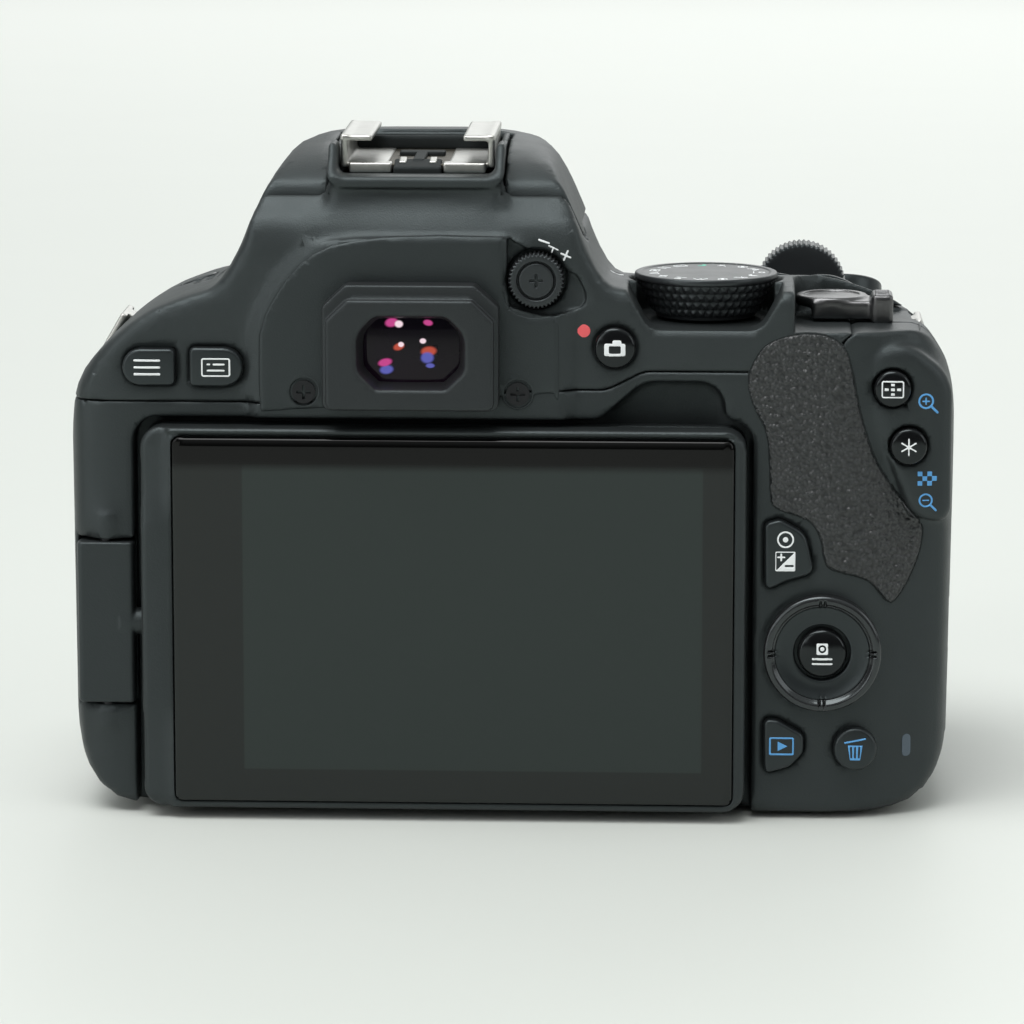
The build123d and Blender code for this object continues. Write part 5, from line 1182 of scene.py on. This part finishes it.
def make_main_dial():
    g = Grid((WHEEL_X - 6.8, 15.2, WHEEL_Z - 6.8), (WHEEL_X + 6.8, 21.4, WHEEL_Z + 6.8), FINE * 1.3)
    turn = np.arctan2(g.Z - WHEEL_Z, g.X - WHEEL_X)
    teeth = 0.15 * np.cos(turn * 56)
    d = both(0.45, disc(g.X, g.Z, WHEEL_X, WHEEL_Z, 6.25) + teeth, slab(g.Y, 15.6, 20.9))
    d = cut(0.2, d, both(0, disc(g.X, g.Z, WHEEL_X, WHEEL_Z, 4.6), 20.5 - g.Y))
    piece(g, d, "main_dial_serrated", DIAL, "main_dial", "main_dial", adapt=0.05)


def make_power_lever():
    g = Grid((51.8, -10, 67.2), (66.4, 2, 73.2), FINE * 1.3)
    pad = both(0.4, disc(g.X, g.Y, 57.4, -4.0, 5.0), slab(g.Z, 70.2, 71.7))
    pad = cut(0.2, pad, both(0, disc(g.X, g.Y, 57.4, -4.0, 3.9), 71.45 - g.Z))
    skirt = both(0.5, slab(g.X, 54.6, 63.6), slab(g.Y, -8.9, -3.2), slab(g.Z, 68.7, 71.25))
    tab = both(0.7, slab(g.X, 62.9, 65.9), slab(g.Y, -9.4, -3.6), slab(g.Z, 68.0, 72.3))
    d = join(0.6, join(0.5, pad, skirt), tab)
    ribs = both(0, slab(g.X, 63.4, 65.3), 0.18 - np.abs(np.mod(g.Y + 9.2, 0.9) - 0.45), 72.1 - g.Z)
    d = cut(0.08, d, ribs)
    piece(g, d, "power_lever_cast", GUNMETAL, "power_lever", "power_lever", adapt=0.05)


# ------------------------------------------------------------------ keys on the top and the front
def make_top_keys():
    for name, (x0, x1, y0, y1, r, rise) in TOP_KEYS.items():
        x, y = (x0 + x1) / 2, (y0 + y1) / 2
        z = float(np.interp(x, *np.array(CREST_X).T)) - float(np.interp(y, *np.array(DROP_Y).T))
        g = Grid((x0 - 0.2, y0 - 0.2, z - 3.2), (x1 + 0.2, y1 + 0.2, z + 2.2), FINE * 1.3)
        skin = envelope(g)
        plan = rect(g.X, g.Y, x0, x1, y0, y1, r)
        dome = rise + 0.25 - 0.04 * ((g.X - x) ** 2 + (g.Y - y) ** 2)
        piece(g, both(0.25, plan, skin - dome, -(skin + 1.6)), name + "_cap", SMOOTH, name, name, adapt=0.05)
    # shutter release: shallow dish in a ring, on the slope over the grip
    t = math.radians(22.8)
    low, high = cad("shutter_button")
    cx, cy, cz = (low + high) / 2
    g = Grid((cx - 6.4, cy - 7, cz - 6), (cx + 6.4, cy + 7, cz + 6), FINE * 1.5)
    y, z = g.Y - cy, g.Z - cz
    along, up = y * math.cos(t) - z * math.sin(t), y * math.sin(t) + z * math.cos(t)
    r = np.sqrt((g.X - cx) ** 2 + along**2)
    top = high[2] - cz - 5.7 * math.sin(t)
    d = both(0.6, r - 5.75, up - top + 1.3 - 0.012 * (r - 3) ** 2, -(up - top + 5.5))
    piece(g, d, "shutter_button_cap", SMOOTH, "shutter_button", "shutter_button", adapt=0.05)


def make_front_keys():
    for name, r in (("lens_release_button", 5.2), ("flash_button", 3.2)):
        low, high = cad(name)
        cx, cz = (low[0] + high[0]) / 2, (low[2] + high[2]) / 2
        g = Grid((cx - r, low[1], cz - r), (cx + r, high[1], cz + r), FINE * 1.5)
        dish = 0.02 * ((g.X - cx) ** 2 + (g.Z - cz) ** 2)
        d = both(0.6, disc(g.X, g.Z, cx, cz, r), low[1] - g.Y, g.Y - high[1] + 0.5 - dish)
        piece(g, d, name + "_cap", SMOOTH, name, name, adapt=0.05)


# ------------------------------------------------------------------ rubbers
def pebbles(g, wavelength, height, count=9):
    """Irregular leather grain: waves in scattered directions, clipped into soft lumps."""
    rng = random.Random(11)
    total = 0.0
    for _ in range(count):
        a = rng.uniform(0, math.pi)
        k = 2 * math.pi / (wavelength * rng.uniform(0.8, 1.25))
        ux, uz, uy = math.cos(a), math.sin(a), rng.uniform(-0.7, 0.7)
        total = total + np.cos(k * (g.X * ux + g.Z * uz + g.Y * uy) + rng.uniform(0, 6.28))
    return height * np.clip(total / (0.45 * count), -1, 1)


def make_thumb_rubber():
    g = Grid((45, -22, 29.6), (71, -12.5, 69), 0.16)
    skin = body_form(g)
    pad = shape(THUMB_PAD, g.X, g.Z) + 0.22
    inner = np.clip((-pad - 0.6) / 0.5, 0, 1)
    rise = 0.42 + pebbles(g, 1.15, 0.15) * inner
    d = both(0.3, pad, (skin - rise) * 0.8, -(skin + 0.9))
    piece(g, d, "thumb_rest_rubber", THUMB, stands_for="grip_rubbers", adapt=0.05)
    # dark strip along the rim of the rubber: painted shade in place of the shadow in the gap at its edge
    edge = both(0, np.abs(pad - 0.05) - 0.2, skin - 0.05, -(skin + 0.6))
    piece(g, edge, "thumb_rest_painted_gap_shade", DARK, adapt=0.1)


def make_grip_rubber():
    g = Grid((40.5, 12, 6), (X_RIGHT + 1, 45, 63), 0.33)
    skin = envelope(g)
    edge = ((40.9, 7.0, 2), (40.9, 58.5, 3), (50, 62.0, 8), (66.0, 60.5, 9), (90, 50, 0), (90, 7.0, 0))
    d = both(0.4, outline(edge, g.X, g.Z), skin - 0.45 - pebbles(g, 2.2, 0.13), -(skin + 0.8), 13.5 - g.Y)
    piece(g, d, "grip_front_rubber", GRIP, adapt=0.1)


# ------------------------------------------------------------------ lugs, flaps, printed marks and lamps
def make_lugs():
    for x, z, slope, flip in LUGS:
        low, high = (x - 2, -4.5, z - 8.5), (x + 8.5, 7.5, z + 2.5)
        if flip:
            low, high = (-high[0], low[1], low[2]), (-low[0], high[1], high[2])
        g = Grid(low, high, FINE * 1.5)
        along, up = lug_frame(g, x, z, slope, flip)
        w = np.abs(g.Y - LUG_Y)
        up = up if flip else up - 0.8
        strip = both(0.3, slab(along, 0, 5.8), w - 4.6, slab(up, -0.6, 0.4))
        strip = cut(0.25, strip, both(0.3, slab(along, 1.5, 4.3), w - 3.4))
        feet = both(0.2, np.minimum(slab(along, 0, 1.0), slab(along, 4.8, 5.8)), w - 2.3, slab(up, -2.6, 0.2))
        side, node = ("left", "strap_lugs") if flip else ("right", None)
        piece(g, union(strip, feet), "strap_lug_" + side, STEEL, stands_for=node, adapt=0.05)


def make_flaps():
    for name, (x0, x1, y0, y1, z0, z1) in FLAPS.items():
        g = Grid((x0, y0, z0), (x1, y1, z1), 0.25)
        plan = rect(g.Y, g.Z, y0, y1, z0, z1, 2.0)
        skin = envelope(g)
        groove = 0.35 * np.clip(1 - np.abs(plan + 1.6) / 0.35, 0, 1)
        d = both(0.4, plan + 0.12, skin + groove - 0.05, -(skin + 1.3), slab(g.X, x0, x1))
        piece(g, d, name + "_skin", SOFT, name, name, adapt=0.1)


PRINTS = {  # icon, place in X and Z, scale and colour of each mark printed on the covers
    "zoom_in": ("zoom_in", 70.6, 58.5, 0.95, PRINT_BLUE),
    "checker": ("checker", 70.6, 48.0, 0.85, PRINT_BLUE),
    "zoom_out": ("zoom_out", 70.7, 44.7, 0.85, PRINT_BLUE),
    "minus": ("minus", 17.8, 80.7, 0.9, PRINT),
    "tee": ("tee", 19.1, 79.8, 0.7, PRINT),
    "plus": ("plus", 20.8, 78.8, 0.9, PRINT),
    "coral_dot": ("dot", 23.3, 68.4, 0.9, CORAL),
}
FOCUS_LAMP = (40.0, 57.5)


def make_prints():
    for name, (*at, mat) in PRINTS.items():
        _, x, z, s = at
        low, high = (x - 2 * s - 0.4, -23, z - 2 * s - 0.4), (x + 2 * s + 0.4, -9, z + 2 * s + 0.4)
        sign("print_" + name, body_form, low, high, at, mat, lift=0.05)
    g = Grid((26.2, -8.2, 72.6), (28.6, -3.8, 76.6), FINE * 1.3)
    skin = body_form(g)
    dash = line(g.X, g.Y, (26.7, -6.0), (28.2, -6.0), 0.55)
    piece(g, both(0.05, skin - 0.06, -(skin + 0.3), dash), "mode_index_dash", PRINT)


def make_lamps():
    lamp = decal("access_lamp_window", body_form, (66.8, -22, 7.4), (69.9, -15, 12.4),
                 lambda g: rect(g.X, g.Z, 67.7, 68.9, 8.3, 11.5, 0.6), LAMP_GREY, lift=0.08)
    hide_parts("lamps")
    x, z = FOCUS_LAMP
    g = Grid((x - 3.2, 15, z - 3.2), (x + 3.2, 19, z + 3.2), FINE * 1.5)
    dome = 18.3 - 0.06 * ((g.X - x) ** 2 + (g.Z - z) ** 2)
    piece(g, both(0.2, disc(g.X, g.Z, x, z, 2.7), g.Y - dome, 15.5 - g.Y), "focus_lamp_lens", GLOSSY)


make_shoe()
make_mode_dial()
make_main_dial()
make_power_lever()
make_top_keys()
make_front_keys()
make_thumb_rubber()
make_grip_rubber()
make_lugs()
make_flaps()
make_prints()
make_lamps()


# ------------------------------------------------------------------ CAD nodes and their finishes
SLOTS = {s["node"]: s["material_slot"] for s in frame["record"]["subparts"]}
FINISH = {
    "body_plastic": COVER, "panel_plastic": SMOOTH, "button_gloss": GLOSSY, "button_satin": SMOOTH,
    "grip_rubber": THUMB, "soft_cover": SOFT, "dial_black": DIAL, "lever_metal": GUNMETAL,
    "bright_steel": STEEL, "black_screw": BLACK_SCREW, "pin_steel": BLACK_SCREW, "frame_steel": STEEL,
    "screen_glass": GLOSSY, "viewfinder_glass": GLOSSY, "optical_glass": GLOSSY, "mirror_silver": STEEL,
    "lamp_clear": GLOSSY, "signal_lamp": LAMP_GREY, "circuit_board": DARK, "inner_black": DARK,
    "cell_plastic": DARK,
}
for name, obj in frame["nodes"].items():
    obj.data.materials.clear()
    obj.data.materials.append(FINISH[SLOTS[name]])
